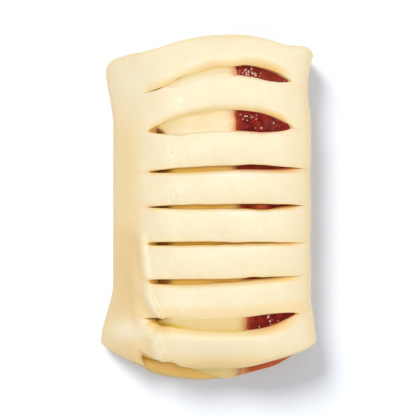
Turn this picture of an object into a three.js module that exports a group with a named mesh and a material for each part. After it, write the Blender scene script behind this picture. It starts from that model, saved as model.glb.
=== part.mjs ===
// A filled danish before baking: one sheet of dough folded over two strands of filling, custard and
// cherry, with its free edges pressed together along the left side. Slits across the upper layer make
// a row of soft straps, and the filling shows through the slits and at the open ends.
//
// Millimetres, +Z up, +Y along the pastry, origin under the middle of the base. The fold is on the +X side.
import * as THREE from "three";

// Driving dimensions
const HALF_LENGTH = 60;
const LEFT_EDGE = -33.2; // pressed edge at mid length
const RIGHT_EDGE = 34.8; // folded edge at mid length
const HEIGHT = 22; // over the crown of the straps
const SHEET = 4.4; // thickness of the dough
const SEAL = 8.6; // width of the pressed margin
const CLEARANCE = 0.35; // between one piece and the next
const FOOTPRINT_MIDDLE = { x: 0, y: -0.28 }; // of the outline below, brought over the origin

// Corners stand further out than the waist: by how much, and from which share of the half length.
const FLARES = {
  farLeft: { by: 2.7, from: 0.48, to: 0.82 },
  nearLeft: { by: 4.4, from: 0.44, to: 0.8 },
  farRight: { by: 1.3, from: 0.8, to: 0.92 },
  nearRight: { by: 2.1, from: 0.5, to: 0.8 },
};
const END_SAG = { by: 3, from: 0.72, to: 1.02 }; // the upper layer comes down at both ends
const MARGIN = 8.4; // height where the pressed margin turns into the flank
const CORNER_SAG = { by: 3.4, from: 0.5, to: 0.95 }; // the margin thins towards the corners

// Slits from the far end to the near end: y at the tips, slope, bow of the middle, widest opening, the x of
// both tips, where the opening is widest (above 1 to the right) and which of its two lips is the soft one.
const SLITS = [
  { y: 40, tilt: 0.055, bow: 6.9, gap: 3.9, from: -21.6, to: 31.4, lean: 2.1, soft: "far" },
  { y: 25.7, tilt: 0.035, bow: 3.5, gap: 6.6, from: -21.2, to: 31.6, lean: 1.15, soft: "far" },
  { y: 12.5, tilt: 0.024, bow: 0.7, gap: 1.9, from: -21.2, to: 33, lean: 1, soft: "near" },
  { y: 0.3, tilt: 0.01, bow: -0.2, gap: 2, from: -21.2, to: 33, lean: 1.3, soft: "near" },
  { y: -12.3, tilt: 0.01, bow: -0.3, gap: 1.4, from: -21, to: 33.2, lean: 0.65, soft: "near" },
  { y: -24.8, tilt: 0.037, bow: -0.9, gap: 2.4, from: -21, to: 33, lean: 0.6, soft: "near" },
  { y: -37.4, tilt: 0.04, bow: -3.8, gap: 4.8, from: -22, to: 33, lean: 1.1, soft: "near" },
];
const SLIT_BOW = { centre: 4.5, reach: 30, power: 1.5 };
const SLIT_FULLNESS = 2.4; // how evenly a slit stays open, 2 is a plain ellipse
const LIP_RUN_OUT = 0.25; // share of a slit at either tip over which its lips form
const SOFT_LIP = 2.5; // rounding of a strap's edge
const SHARP_LIP = 1;
const END_LIP = 1.5; // rounding of the upper layer at both ends
const CROWN = 0.7; // rise of a strap's middle over its edges

// Ends of the upper and of the lower layer, as lines across the pastry
const UPPER_FAR = { y: 50.7, tilt: 0.013, bow: 9.2, centre: 6.1, reach: 50.5, power: 2.2 };
const UPPER_NEAR = { y: -46.8, tilt: -0.035, bow: -9.6, centre: 0, reach: 36, power: 0.9 };
const LOWER_FAR = { y: 51.6, tilt: 0.013, bow: 5, centre: 6.1, reach: 50.5, power: 2.2 };
const LOWER_NEAR = { y: -47.6, tilt: 0.047, bow: -11.4, centre: 0.6, reach: 37.5, power: 0.78 };
const LAYER_CHANGE = { from: 2, to: 15 }; // heights over which lines on one layer turn into the other's

// Filling strands
const CUSTARD_LEFT = -16.2;
const CUSTARD_SPREAD = { by: 3, from: 0.75, to: 0.98 }; // to the left, at the near end
const DIVIDE = { far: 8.6, near: 12.6 }; // x where custard meets cherry, at either end
const CHERRY_RIGHT = RIGHT_EDGE - SHEET - 1.3;
const FILLING_FLOOR = SHEET + CLEARANCE;
const FILLING_SLACK = 0.5; // under the dough that arches over it
const CHERRY_LUMP = 0.9; // relief of the fruit in the cherry strand
const LUMP_WAVES = { along: 0.55, drift: 0.21, round: 2.2 };
const FAR_RECESS = 3.6; // filling behind the far edge of the upper layer
const NEAR_SPILL = 1.5; // filling beyond the near edge of the lower layer
const STRAND_CORNER = 0.62; // squareness of a strand's section, 1 is an ellipse
const STRAND_STUB = 0.06; // share of its height that a strand keeps at its very end

// Mesh steps
const STRAP_ROWS = [0, 0.07, 0.2, 0.5, 0.8, 0.93, 1];
const SLIT_COLUMNS = 22;
const REST_COLUMNS = 26;
const STRAND_SIDES = 20;
const STRAND_STEPS = 44;
const TANGENT_STEP = 0.004;
const HALVINGS = 30;

const mix = (a, b, t) => a + (b - a) * t;
const ramp = ({ by = 1, from, to }, v) => by * THREE.MathUtils.smoothstep(v, from, to);

// y of a line across the pastry at x: straight, with a bow in its middle
function lineAt({ y, tilt, bow, centre, reach, power }, x) {
  const share = Math.min(1, Math.abs(x - centre) / reach);
  return y + tilt * x + bow * Math.cos((Math.PI / 2) * share) ** power;
}

// Point of a closed uniform cubic B-spline, u from 0 to 1 round the loop
function splinePoint(controls, u) {
  const n = controls.length;
  const at = (((u % 1) + 1) % 1) * n;
  const i = Math.floor(at);
  const t = at - i;
  const weights = [(1 - t) ** 3, 3 * t ** 3 - 6 * t ** 2 + 4, -3 * t ** 3 + 3 * t ** 2 + 3 * t + 1, t ** 3];
  const point = new THREE.Vector2();
  weights.forEach((weight, k) => point.addScaledVector(controls[(i + k + n - 1) % n], weight / 6));
  return point;
}

// Height of the straps' underside at y
const roofAt = (y) => HEIGHT - CROWN - SHEET - ramp(END_SAG, Math.abs(y) / HALF_LENGTH);

// Cross-section of the folded sheet at y, clockwise from the pressed edge: control points as x and z of the
// outside, then x and z of the inside
function sectionAt(y) {
  const share = y / HALF_LENGTH;
  const left = LEFT_EDGE - ramp(FLARES.farLeft, share) - ramp(FLARES.nearLeft, -share);
  const right = RIGHT_EDGE + ramp(FLARES.farRight, share) + ramp(FLARES.nearRight, -share);
  const seal = LEFT_EDGE + SEAL;
  const roof = roofAt(y);
  const top = roof + SHEET;
  const margin = MARGIN - ramp(CORNER_SAG, Math.abs(share));
  const rows = [
    [left - 0.7, margin * 0.4, seal - 0.8, SHEET + 0.5], // pressed edge
    [left + 0.2, margin, seal + 0.4, SHEET + 2],
    [left + 5.6, margin + 5, seal + 2, margin + 0.6], // flank
    [-20.6, top - 2.2, -17.6, roof - 1.8], // shoulder, where the slits begin
    [-12, top, -10.5, roof - 0.2],
    [0, top + 0.1, 0, roof], // middle of the straps
    [14, top + 0.1, 13, roof],
    [right - 9.5, top - 0.1, right - 12, roof - 0.1],
    [right - 0.6, top - 3.4, right - 5.2, roof - 2.2], // fold, where the slits end
    [right + 0.9, top / 2 + 0.4, right - 4, top / 2 + 0.3],
    [right + 0.4, 3.2, right - 4.8, SHEET + 1.4],
    [right - 6.5, 0, right - 10, SHEET], // base
    [16, 0, 15, SHEET],
    [-4, 0, -4, SHEET],
    [left + 10, 0, seal + 7, SHEET],
    [left + 1.4, 0, seal + 1, SHEET],
  ];
  return {
    outer: rows.map(([x, z]) => new THREE.Vector2(x, z)),
    inner: rows.map(([, , x, z]) => new THREE.Vector2(x, z)),
  };
}

const UPPER_SIDE = [0.08, 0.55]; // share of the way round the section, from flank to fold

// Place round the section, on its upper side, where the outside reaches x
function placeOnTop(y, x) {
  const { outer } = sectionAt(y);
  let [low, high] = UPPER_SIDE;
  for (let halving = 0; halving < HALVINGS; halving += 1) {
    const middle = (low + high) / 2;
    if (splinePoint(outer, middle).x < x) low = middle;
    else high = middle;
  }
  return low;
}

const slitLine = (slit, x) => lineAt({ ...SLIT_BOW, ...slit }, x);

// Half the opening of a slit at a share of its length: none at the tips, nearly even between them
function halfGap({ gap, lean }, share) {
  if (share <= 0 || share >= 1) return 0;
  return (gap / 2) * Math.sqrt(1 - Math.abs(2 * share ** lean - 1) ** SLIT_FULLNESS);
}

const STRAPS = SLITS.length + 1;

// y of a strap's far and near edge on the upper layer, at a share of the slits' length
function upperEdges(strap, x, share) {
  const [farSlit, nearSlit] = [SLITS[strap - 1], SLITS[strap]];
  return [
    farSlit ? slitLine(farSlit, x) - halfGap(farSlit, share) : lineAt(UPPER_FAR, x),
    nearSlit ? slitLine(nearSlit, x) + halfGap(nearSlit, share) : lineAt(UPPER_NEAR, x),
  ];
}

// y of the same edges carried round to the lower layer, which is whole
function lowerEdges(strap, x) {
  const [far, near] = [lineAt(LOWER_FAR, x), lineAt(LOWER_NEAR, x)];
  return [mix(far, near, strap / STRAPS), mix(far, near, (strap + 1) / STRAPS)];
}

// Depth of a rounded edge below the full surface, at a distance from the edge
function roundOff(distance, radius) {
  return distance < radius ? radius - Math.sqrt(radius ** 2 - (radius - distance) ** 2) : 0;
}

// Rounding of a strap's edge: beside a slit it fades towards the tips, where the straps run together
function edgeDrop(slit, softSide, distance, parted) {
  if (!slit) return roundOff(distance, END_LIP);
  return parted * roundOff(distance, slit.soft === softSide ? SOFT_LIP : SHARP_LIP);
}

// How far the surface of a strap stands over its edges, across its width: a crown with rounded lips
function strapRelief(strap, row, width, share) {
  const parted = Math.min(1, Math.min(share, 1 - share) / LIP_RUN_OUT);
  const farDrop = edgeDrop(SLITS[strap - 1], "near", row * width, parted);
  const nearDrop = edgeDrop(SLITS[strap], "far", (1 - row) * width, parted);
  return CROWN - parted * CROWN * (2 * row - 1) ** 2 - farDrop - nearDrop;
}

// One column of the sheet, along the pastry: outer and inner points of every row of every strap
function doughColumn(column) {
  const onSlits = column <= SLIT_COLUMNS;
  const share = onSlits ? column / SLIT_COLUMNS : 0;
  const placeBeside = (line) => {
    const slit = SLITS[THREE.MathUtils.clamp(line, 0, SLITS.length - 1)];
    const [start, stop] = [placeOnTop(slit.y, slit.from), placeOnTop(slit.y, slit.to)];
    return onSlits ? mix(start, stop, share) : mix(stop, 1 + start, (column - SLIT_COLUMNS) / REST_COLUMNS);
  };
  const points = [];
  for (let strap = 0; strap < STRAPS; strap += 1) {
    const [farPlace, nearPlace] = [placeBeside(strap - 1), placeBeside(strap)];
    for (const row of STRAP_ROWS) {
      const u = mix(farPlace, nearPlace, row);
      const layOut = (y) => {
        const { x, y: z } = splinePoint(sectionAt(y).outer, u);
        const upper = ramp(LAYER_CHANGE, z);
        const edges = [upperEdges(strap, x, share), lowerEdges(strap, x)];
        const [onUpper, onLower] = edges.map(([far, near]) => mix(far, near, row));
        const [farEdge, nearEdge] = edges[0];
        return { y: mix(onLower, onUpper, upper), width: farEdge - nearEdge, upper };
      };
      const first = layOut(mix(HALF_LENGTH, -HALF_LENGTH, (strap + row) / STRAPS));
      const { y, width, upper } = layOut(first.y);
      const section = sectionAt(y);
      const before = splinePoint(section.outer, u - TANGENT_STEP);
      const along = splinePoint(section.outer, u + TANGENT_STEP).sub(before);
      const outward = new THREE.Vector2(-along.y, along.x).normalize();
      const outer = splinePoint(section.outer, u);
      outer.addScaledVector(outward, upper * strapRelief(strap, row, width, share));
      const inner = splinePoint(section.inner, u);
      points.push({
        outer: new THREE.Vector3(outer.x, y, outer.y),
        inner: new THREE.Vector3(inner.x, y, inner.y),
      });
    }
  }
  return points;
}

// Collects points and faces into one indexed geometry
class Surface {
  positions = [];
  indices = [];

  point({ x, y, z }) {
    this.positions.push(x - FOOTPRINT_MIDDLE.x, y - FOOTPRINT_MIDDLE.y, z);
    return this.positions.length / 3 - 1;
  }

  triangle(a, b, c) {
    this.indices.push(a, b, c);
  }

  quad(a, b, c, d) {
    this.triangle(a, b, c);
    this.triangle(a, c, d);
  }

  // A wall from the outside of the sheet to its inside, between two neighbouring columns
  wall(a, b) {
    if (a.outer !== b.outer) this.triangle(a.outer, a.inner, b.outer);
    if (a.inner !== b.inner) this.triangle(b.outer, a.inner, b.inner);
  }

  geometry() {
    const geometry = new THREE.BufferGeometry();
    geometry.setAttribute("position", new THREE.Float32BufferAttribute(this.positions, 3));
    geometry.setIndex(this.indices);
    geometry.computeVertexNormals();
    return geometry;
  }
}

// The folded sheet: its outside and inside, the walls of the slits and the rims of the open ends
function doughGeometry() {
  const surface = new Surface();
  const perStrap = STRAP_ROWS.length;
  const last = perStrap - 1;
  const columns = SLIT_COLUMNS + REST_COLUMNS;
  const ids = [];
  for (let column = 0; column < columns; column += 1) {
    const parted = column > 0 && column < SLIT_COLUMNS;
    const made = [];
    doughColumn(column).forEach((pair, index) => {
      const joined = index > 0 && index % perStrap === 0 && !parted;
      const fresh = () => ({ outer: surface.point(pair.outer), inner: surface.point(pair.inner) });
      made.push(joined ? made[index - 1] : fresh());
    });
    ids.push(made);
  }
  const id = (column, strap, row) => ids[column % columns][strap * perStrap + row];
  for (let column = 0; column < columns; column += 1) {
    const next = column + 1;
    for (let strap = 0; strap < STRAPS; strap += 1) {
      for (let row = 0; row < last; row += 1) {
        const [a, b] = [id(column, strap, row), id(next, strap, row)];
        const [c, d] = [id(next, strap, row + 1), id(column, strap, row + 1)];
        surface.quad(a.outer, d.outer, c.outer, b.outer);
        surface.quad(a.inner, b.inner, c.inner, d.inner);
      }
      if (column < SLIT_COLUMNS && strap < STRAPS - 1) {
        surface.wall(id(column, strap, last), id(next, strap, last));
        surface.wall(id(next, strap + 1, 0), id(column, strap + 1, 0));
      }
    }
    surface.wall(id(next, 0, 0), id(column, 0, 0));
    surface.wall(id(column, STRAPS - 1, last), id(next, STRAPS - 1, last));
  }
  return surface.geometry();
}

// A strand of filling between two x limits: a soft bar with rounded ends that follow the ends of the dough
function strandGeometry({ leftAt, rightAt, lump }) {
  const surface = new Surface();
  const rings = [];
  for (let step = 0; step <= STRAND_STEPS; step += 1) {
    const along = (1 - Math.cos((Math.PI * step) / STRAND_STEPS)) / 2;
    const yAt = (x) => mix(lineAt(UPPER_FAR, x) - FAR_RECESS, lineAt(LOWER_NEAR, x) - NEAR_SPILL, along);
    const centre = yAt((leftAt(0) + rightAt(0)) / 2);
    const [left, right] = [leftAt(centre), rightAt(centre)];
    const ring = [];
    for (let side = 0; side < STRAND_SIDES; side += 1) {
      const turn = (2 * Math.PI * side) / STRAND_SIDES;
      const [c, s] = [Math.cos(turn), Math.sin(turn)];
      const across = Math.sign(c) * Math.abs(c) ** STRAND_CORNER;
      const up = Math.sign(s) * Math.abs(s) ** STRAND_CORNER;
      const x = (left + right) / 2 + ((right - left) / 2) * across;
      const y = yAt(x);
      const top = roofAt(y) - CLEARANCE - FILLING_SLACK - lump;
      const half = (top - FILLING_FLOOR) / 2;
      const toEnd = Math.min(along, 1 - along) * 2 * HALF_LENGTH;
      const rounded = mix(STRAND_STUB, 1, Math.sqrt(1 - (1 - Math.min(1, toEnd / half)) ** 2));
      const wave = Math.sin(y * LUMP_WAVES.along + c) * Math.cos(c * LUMP_WAVES.round + y * LUMP_WAVES.drift);
      const relief = lump * Math.max(0, s) * wave;
      ring.push(surface.point({ x, y, z: FILLING_FLOOR + half + (half * up + relief) * rounded }));
    }
    rings.push(ring);
  }
  for (let step = 0; step < STRAND_STEPS; step += 1) {
    for (let side = 0; side < STRAND_SIDES; side += 1) {
      const next = (side + 1) % STRAND_SIDES;
      surface.quad(rings[step][side], rings[step][next], rings[step + 1][next], rings[step + 1][side]);
    }
  }
  const [farRing, nearRing] = [rings[0], rings[STRAND_STEPS]];
  for (let side = 1; side < STRAND_SIDES - 1; side += 1) {
    surface.triangle(farRing[0], farRing[side + 1], farRing[side]);
    surface.triangle(nearRing[0], nearRing[side], nearRing[side + 1]);
  }
  return surface.geometry();
}

const divideAt = (y) => mix(DIVIDE.near, DIVIDE.far, (y / HALF_LENGTH + 1) / 2);

function custardGeometry() {
  return strandGeometry({
    leftAt: (y) => CUSTARD_LEFT - ramp(CUSTARD_SPREAD, -y / HALF_LENGTH),
    rightAt: (y) => divideAt(y) - CLEARANCE / 2,
    lump: 0,
  });
}

function cherryGeometry() {
  return strandGeometry({
    leftAt: (y) => divideAt(y) + CLEARANCE / 2,
    rightAt: () => CHERRY_RIGHT,
    lump: CHERRY_LUMP,
  });
}

function namedMesh(name, geometry, colour, roughness) {
  const mesh = new THREE.Mesh(
    geometry,
    new THREE.MeshStandardMaterial({ color: colour, roughness, metalness: 0 }),
  );
  mesh.name = name;
  return mesh;
}

const danish = new THREE.Group();
danish.add(namedMesh("dough", doughGeometry(), 0xf8e6b9, 0.5));
danish.add(namedMesh("custard", custardGeometry(), 0xf6deaa, 0.45));
danish.add(namedMesh("cherry", cherryGeometry(), 0x7e1c1c, 0.2));

export default danish;
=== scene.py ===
"""Looks of a filled danish before baking: folded dough with slits, custard and cherry filling."""

import logging
import math
from collections.abc import Callable
from dataclasses import dataclass, field
from enum import Enum

import bpy
import numpy as np
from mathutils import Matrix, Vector


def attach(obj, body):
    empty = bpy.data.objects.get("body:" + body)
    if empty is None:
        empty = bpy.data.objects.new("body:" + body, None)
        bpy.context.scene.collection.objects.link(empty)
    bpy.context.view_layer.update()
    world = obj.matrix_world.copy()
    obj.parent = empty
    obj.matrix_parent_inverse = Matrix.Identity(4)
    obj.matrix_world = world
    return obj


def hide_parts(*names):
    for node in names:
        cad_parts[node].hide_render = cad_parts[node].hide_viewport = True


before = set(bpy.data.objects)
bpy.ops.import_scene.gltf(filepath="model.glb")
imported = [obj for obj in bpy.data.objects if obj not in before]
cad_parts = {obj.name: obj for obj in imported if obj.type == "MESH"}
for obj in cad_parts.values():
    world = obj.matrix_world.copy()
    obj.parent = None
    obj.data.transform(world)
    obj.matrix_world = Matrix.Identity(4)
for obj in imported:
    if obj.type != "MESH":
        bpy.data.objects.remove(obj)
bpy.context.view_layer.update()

MM = 0.001
FOOTPRINT_MIDDLE = (0.0, -0.28)  # of the outline below, in millimetres, brought over the origin
LOG = logging.getLogger("danish")

Array = np.ndarray
Colour = tuple[float, float, float]


def mix(a: Array | float, b: Array | float, t: Array | float) -> Array | float:
    """Value between a and b at share t."""
    return a + (b - a) * t


@dataclass(frozen=True)
class Ramp:
    """A smooth rise from nothing to a full amount between two values."""

    by: float
    start: float
    stop: float

    def at(self, value: Array | float) -> Array:
        """Amount reached at a value."""
        share = np.clip((value - self.start) / (self.stop - self.start), 0, 1)
        return self.by * share * share * (3 - 2 * share)


@dataclass(frozen=True)
class CrossLine:
    """A line across the pastry: straight, with a bow in its middle."""

    y: float
    tilt: float
    bow: float
    centre: float = 4.5
    reach: float = 30.0
    power: float = 1.5

    def at(self, x: Array | float) -> Array:
        """y of the line at x."""
        share = np.minimum(1, np.abs(x - self.centre) / self.reach)
        return self.y + self.tilt * x + self.bow * np.cos(math.pi / 2 * share).clip(0) ** self.power


@dataclass(frozen=True)
class Ripple:
    """Gentle unevenness: a seeded sum of waves over the plan, between about -1 and 1."""

    seed: int
    shortest: float
    longest: float
    waves: int = 14

    def at(self, x: Array, y: Array) -> Array:
        """Height of the unevenness.

        Args:
            x: places across the pastry.
            y: places along the pastry.

        Returns:
            The heights.
        """
        draw = np.random.default_rng(self.seed)
        total = np.zeros(np.broadcast(x, y).shape)
        for _ in range(self.waves):
            number = 2 * math.pi / draw.uniform(self.shortest, self.longest)
            turn = draw.uniform(0, math.pi)
            phase = draw.uniform(0, 2 * math.pi)
            total += np.sin(number * (x * math.cos(turn) + y * math.sin(turn)) + phase)
        return total / math.sqrt(2 * self.waves)


class Lip(Enum):
    """One of a slit's two lips, by its side of the slit."""

    FAR = 1
    NEAR = -1


@dataclass(frozen=True)
class Bump:
    """A place where a line stands out, or with a negative reach stands back."""

    place: float
    width: float
    reach: float

    def at(self, value: Array) -> Array:
        """How far the line stands out at a value."""
        return self.reach * np.exp(-(((value - self.place) / self.width) ** 2))


@dataclass(frozen=True)
class Slit:
    """A slanting cut across the upper layer, with one soft and one sharp lip.

    Attributes:
        line: the slit's middle.
        gap: its widest opening.
        start: x of its left tip.
        stop: x of its right tip.
        lean: above 1 where it is widest on the right, below 1 where on the left.
        soft: which lip is the soft one.
        soft_reach: how far the soft lip's slope reaches into its strap.
        soft_drop: how far that slope falls.
        fill: how far the filling swells up.
        golden: how much golden painted shade the custard and the cut faces get, most in the narrow slits.
    """

    line: CrossLine
    gap: float
    start: float
    stop: float
    lean: float
    soft: Lip
    soft_reach: float
    soft_drop: float
    fill: float
    golden: float
    # Shape of the opening.
    fullness: float = 2.4
    left_power: float = 0.5
    right_power: float = 0.5
    least: float = 0.02
    bumps: tuple[tuple[Lip, Bump], ...] = ()
    wobble: float = 0.08
    wobble_span: tuple[float, float] = (5.0, 14.0)
    wobble_waves: int = 6
    wobble_run: float = 4.0
    seeds_per_mm: int = 10
    # Lips, and the slant of the cut below them.
    narrowing: Ramp = Ramp(0.0, 0.6, 0.9)
    sharp_radius: float = 0.4
    left_slant: float = 0.3
    right_slant: float = 0.3
    tip_slant: float = 1.2
    left_tip_slant: float = 0.0
    custard_side: Ramp = Ramp(1.0, -16.0, -12.0)
    cherry_side: Ramp = Ramp(1.0, 2.0, 13.0)
    right_tip: Ramp = Ramp(1.0, 0.7, 1.0)
    left_tip: Ramp = Ramp(1.0, 0.4, 0.12)
    # Painted shade on the cut faces at the left tip: golden, and dark brown deep down.
    tip_shade: float = 0.9
    soaked: float = 0.5
    # Filling that shows: its level, where it begins, and its tones, which paint the shade in the slit.
    tilt: float = 0.1
    meniscus: float = 0.0
    custard_start: Ramp = Ramp(1.0, -19.0, -15.5)
    front_shift: float = 0.0
    front_slant: float = 0.0
    soft_shade: float = 0.0
    deep_share: float = 1.0
    crease: float = 0.0

    def share(self, x: Array) -> Array:
        """Share of the slit's length at x."""
        return (x - self.start) / (self.stop - self.start)

    def half_gap(self, share: Array) -> Array:
        """Half the slit's opening, none at the tips.

        Args:
            share: share of the slit's length.

        Returns:
            Half the opening.
        """
        inside = np.clip(share, 0, 1) ** self.lean
        power = np.where(inside > 0.5, self.right_power, self.left_power)
        return self.gap / 2 * np.maximum(0, 1 - np.abs(2 * inside - 1) ** self.fullness) ** power

    def reach(self, share: Array) -> Array:
        """How far the soft lip's slope reaches into its strap."""
        return self.soft_reach * (1 - self.narrowing.at(share))

    def slant(self, x: Array, share: Array) -> Array:
        """How far the cut's foot is shifted from its lips, away from the soft one.

        Args:
            x: places across the pastry.
            share: share of the slit's length at those places.

        Returns:
            The shift.
        """
        slope = mix(self.left_slant, self.right_slant, self.cherry_side.at(x)) * self.custard_side.at(x)
        tips = self.tip_slant * self.right_tip.at(share) + self.left_tip_slant * self.left_tip.at(share)
        return slope + tips

    def lip_at(self, lip: Lip, x: Array, share: Array) -> Array:
        """y of one lip.

        Args:
            lip: the lip.
            x: places across the pastry.
            share: share of the slit's length at those places.

        Returns:
            The lip's y.
        """
        half = self.half_gap(share)
        seed = round(self.seeds_per_mm * abs(self.line.y)) + lip.value
        uneven = Ripple(seed, *self.wobble_span, self.wobble_waves).at(x, 0 * x)
        begun = np.clip(self.wobble_run * np.minimum(share, 1 - share), 0, 1)
        out = half + self.wobble * begun * uneven
        for owner, bump in self.bumps:
            if owner is lip:
                out = out - bump.at(x)
        return self.line.at(x) + lip.value * np.maximum(np.minimum(half, self.least), out)


@dataclass(frozen=True)
class PlanCorner:
    """A rounded corner of the plan at one side of the pastry."""

    side: float
    radius: float

    def cut(self, x: Array) -> Array:
        """How far the corner takes the end back at x."""
        share = np.clip(1 - (self.side - x) * math.copysign(1, self.side) / self.radius, 0, 1)
        return self.radius * (1 - np.sqrt(1 - share**2))


@dataclass(frozen=True)
class OpenEnd:
    """An open end of the pastry, where its upper and its lower layer stop."""

    upper: CrossLine
    lower: CrossLine
    corners: tuple[PlanCorner, PlanCorner]
    inward: float
    parting: Ramp
    upper_bumps: tuple[Bump | Ramp, ...] = ()
    lower_bumps: tuple[Bump | Ramp, ...] = ()

    def layers(self, x: Array) -> tuple[Array, Array]:
        """y of the two layers' edges, which are one where they are pressed together.

        Args:
            x: places across the pastry.

        Returns:
            The upper and the lower edge.
        """
        cut = self.inward * sum(corner.cut(x) for corner in self.corners)
        lower = self.lower.at(x) + sum(bump.at(x) for bump in self.lower_bumps)
        upper = self.upper.at(x) + sum(bump.at(x) for bump in self.upper_bumps)
        upper = mix(lower, upper, self.parting.at(x))
        return upper + cut, lower + cut


@dataclass(frozen=True)
class Ridge:
    """A raised roll along a few points of the plan, steeper on its right, with a valley on its left."""

    points: tuple[tuple[float, float], ...]
    height: float
    left_width: float
    right_width: float
    valley: float = 0.0
    run_in: float = 3.0
    run_out: float = 3.0
    waver: float = 0.3
    waves: Ripple = Ripple(3, 2.5, 7.0, 6)
    valley_place: float = 2.0

    def at(self, x: Array, y: Array) -> Array:
        """Height of the ridge.

        Args:
            x: places across the pastry.
            y: places along the pastry.

        Returns:
            The heights.
        """
        x = x + self.waver * self.waves.at(0 * y, y)
        nearest = np.full(np.broadcast(x, y).shape, np.inf)
        signed = np.zeros_like(nearest)
        fade = np.zeros_like(nearest)
        corners = np.array(self.points)
        lengths = np.linalg.norm(np.diff(corners, axis=0), axis=1)
        begins = np.concatenate([[0], np.cumsum(lengths)])
        for index, length in enumerate(lengths):
            (ax, ay), (bx, by) = corners[index], corners[index + 1]
            tx, ty = (bx - ax) / length, (by - ay) / length
            along = np.clip((x - ax) * tx + (y - ay) * ty, 0, length)
            dx, dy = x - ax - along * tx, y - ay - along * ty
            distance = np.hypot(dx, dy)
            closer = distance < nearest
            side = np.where(dy * tx - dx * ty > 0, 1.0, -1.0)
            nearest = np.where(closer, distance, nearest)
            signed = np.where(closer, side * distance, signed)
            travelled = begins[index] + along
            to_end = np.minimum(travelled / self.run_in, (begins[-1] - travelled) / self.run_out)
            fade = np.where(closer, np.clip(to_end, 0, 1), fade)
        width = np.where(signed > 0, self.right_width, self.left_width)
        roll = self.height * np.exp(-((signed / width) ** 2))
        dip = self.valley * np.exp(-((signed / self.left_width + self.valley_place) ** 2))
        return (roll - dip) * fade


@dataclass(frozen=True)
class Dimple:
    """A shallow finger mark in the dough, or with a negative depth a soft swelling."""

    x: float
    y: float
    radius: float
    depth: float

    def at(self, x: Array, y: Array) -> Array:
        """Height of the mark at places of the plan."""
        return -self.depth * np.exp(-((x - self.x) ** 2 + (y - self.y) ** 2) / self.radius**2)


def closed_spline(controls: Array, u: Array) -> Array:
    """Points of closed uniform cubic B-splines.

    Args:
        controls: control points, one loop for each point asked for, as places by controls by numbers.
        u: share of the way round each loop.

    Returns:
        The points, as places by numbers.
    """
    count = controls.shape[1]
    at = np.mod(u, 1.0) * count
    first = np.floor(at).astype(int)
    t = at - first
    weights = ((1 - t) ** 3, 3 * t**3 - 6 * t**2 + 4, -3 * t**3 + 3 * t**2 + 3 * t + 1, t**3)
    places = np.arange(len(u))
    return sum(
        weight[:, None] / 6 * controls[places, (first + k - 1) % count] for k, weight in enumerate(weights)
    )


@dataclass
class MeshParts:
    """Points, four-sided faces and named point values of one mesh under construction, in millimetres."""

    points: list[Array] = field(default_factory=list)
    values: dict[str, list[Array]] = field(default_factory=dict)
    faces: list[Array] = field(default_factory=list)
    caps: list[Array] = field(default_factory=list)
    count: int = 0

    def add_points(self, points: Array, **values: Array | float) -> Array:
        """Adds points with their values and returns their numbers in the same layout.

        Args:
            points: coordinates, of any layout with three numbers last.
            values: named values, each one number or one for every point.

        Returns:
            The numbers of the points.
        """
        layout = points.shape[:-1]
        flat = points.reshape(-1, 3)
        for name, value in values.items():
            self.values.setdefault(name, []).append(np.broadcast_to(value, layout).reshape(-1))
        self.points.append(flat)
        numbers = np.arange(self.count, self.count + len(flat)).reshape(layout)
        self.count += len(flat)
        return numbers

    def add_faces(self, a: Array, b: Array, c: Array, d: Array) -> None:
        """Adds four-sided faces with these corners, anticlockwise seen from outside."""
        self.faces.append(np.stack([a.ravel(), b.ravel(), c.ravel(), d.ravel()], axis=1))

    def to_object(self, name: str) -> bpy.types.Object:
        """Makes the mesh object, in metres and over the origin.

        Args:
            name: name of the piece.

        Returns:
            The object, linked to the scene.
        """
        points = np.concatenate(self.points)
        faces = np.concatenate(self.faces)
        used, numbers = np.unique(faces, return_inverse=True)
        faces = numbers.reshape(faces.shape)
        points = (points[used] - np.array([*FOOTPRINT_MIDDLE, 0.0])) * MM
        mesh = bpy.data.meshes.new(name)
        renumbered = {old: new for new, old in enumerate(used.tolist())}
        caps = [[renumbered[corner] for corner in cap.tolist()] for cap in self.caps]
        mesh.from_pydata(points.tolist(), [], faces.tolist() + caps)
        for label, parts in self.values.items():
            layer = mesh.attributes.new(label, "FLOAT", "POINT")
            layer.data.foreach_set("value", np.concatenate(parts)[used].astype(np.float32))
        mesh.validate()
        mesh.shade_smooth()
        # Slope of every point; the dough's material turns it into painted shade, a golden tone on steeper
        # faces.
        normals = np.empty(3 * len(mesh.vertices), np.float32)
        mesh.vertex_normals.foreach_get("vector", normals)
        slope = mesh.attributes.new("slope", "FLOAT", "POINT")
        slope.data.foreach_set("value", 1 - normals[2::3].clip(0))
        piece = bpy.data.objects.new(name, mesh)
        bpy.context.scene.collection.objects.link(piece)
        return piece


@dataclass(frozen=True)
class Layer:
    """One strap's skin or lining: numbers and coordinates of its points, as columns by rows."""

    numbers: Array
    points: Array


@dataclass(frozen=True)
class Span:
    """A range of values and the range it is mapped to."""

    low: float
    high: float
    to_low: float
    to_high: float


@dataclass(frozen=True)
class Grain:
    """A noise pattern: size of its lumps in millimetres, its finer detail and how rough that is."""

    size: float
    detail: float = 2.0
    roughness: float = 0.5


@dataclass(frozen=True)
class Relief:
    """A fine relief of a finish: its depth in millimetres and how much of it shows."""

    depth: float
    strength: float


@dataclass(frozen=True)
class Glow:
    """Light that spreads under a surface: its share, its reach by colour and its scale in millimetres."""

    weight: float
    radius: Colour
    scale: float


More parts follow.
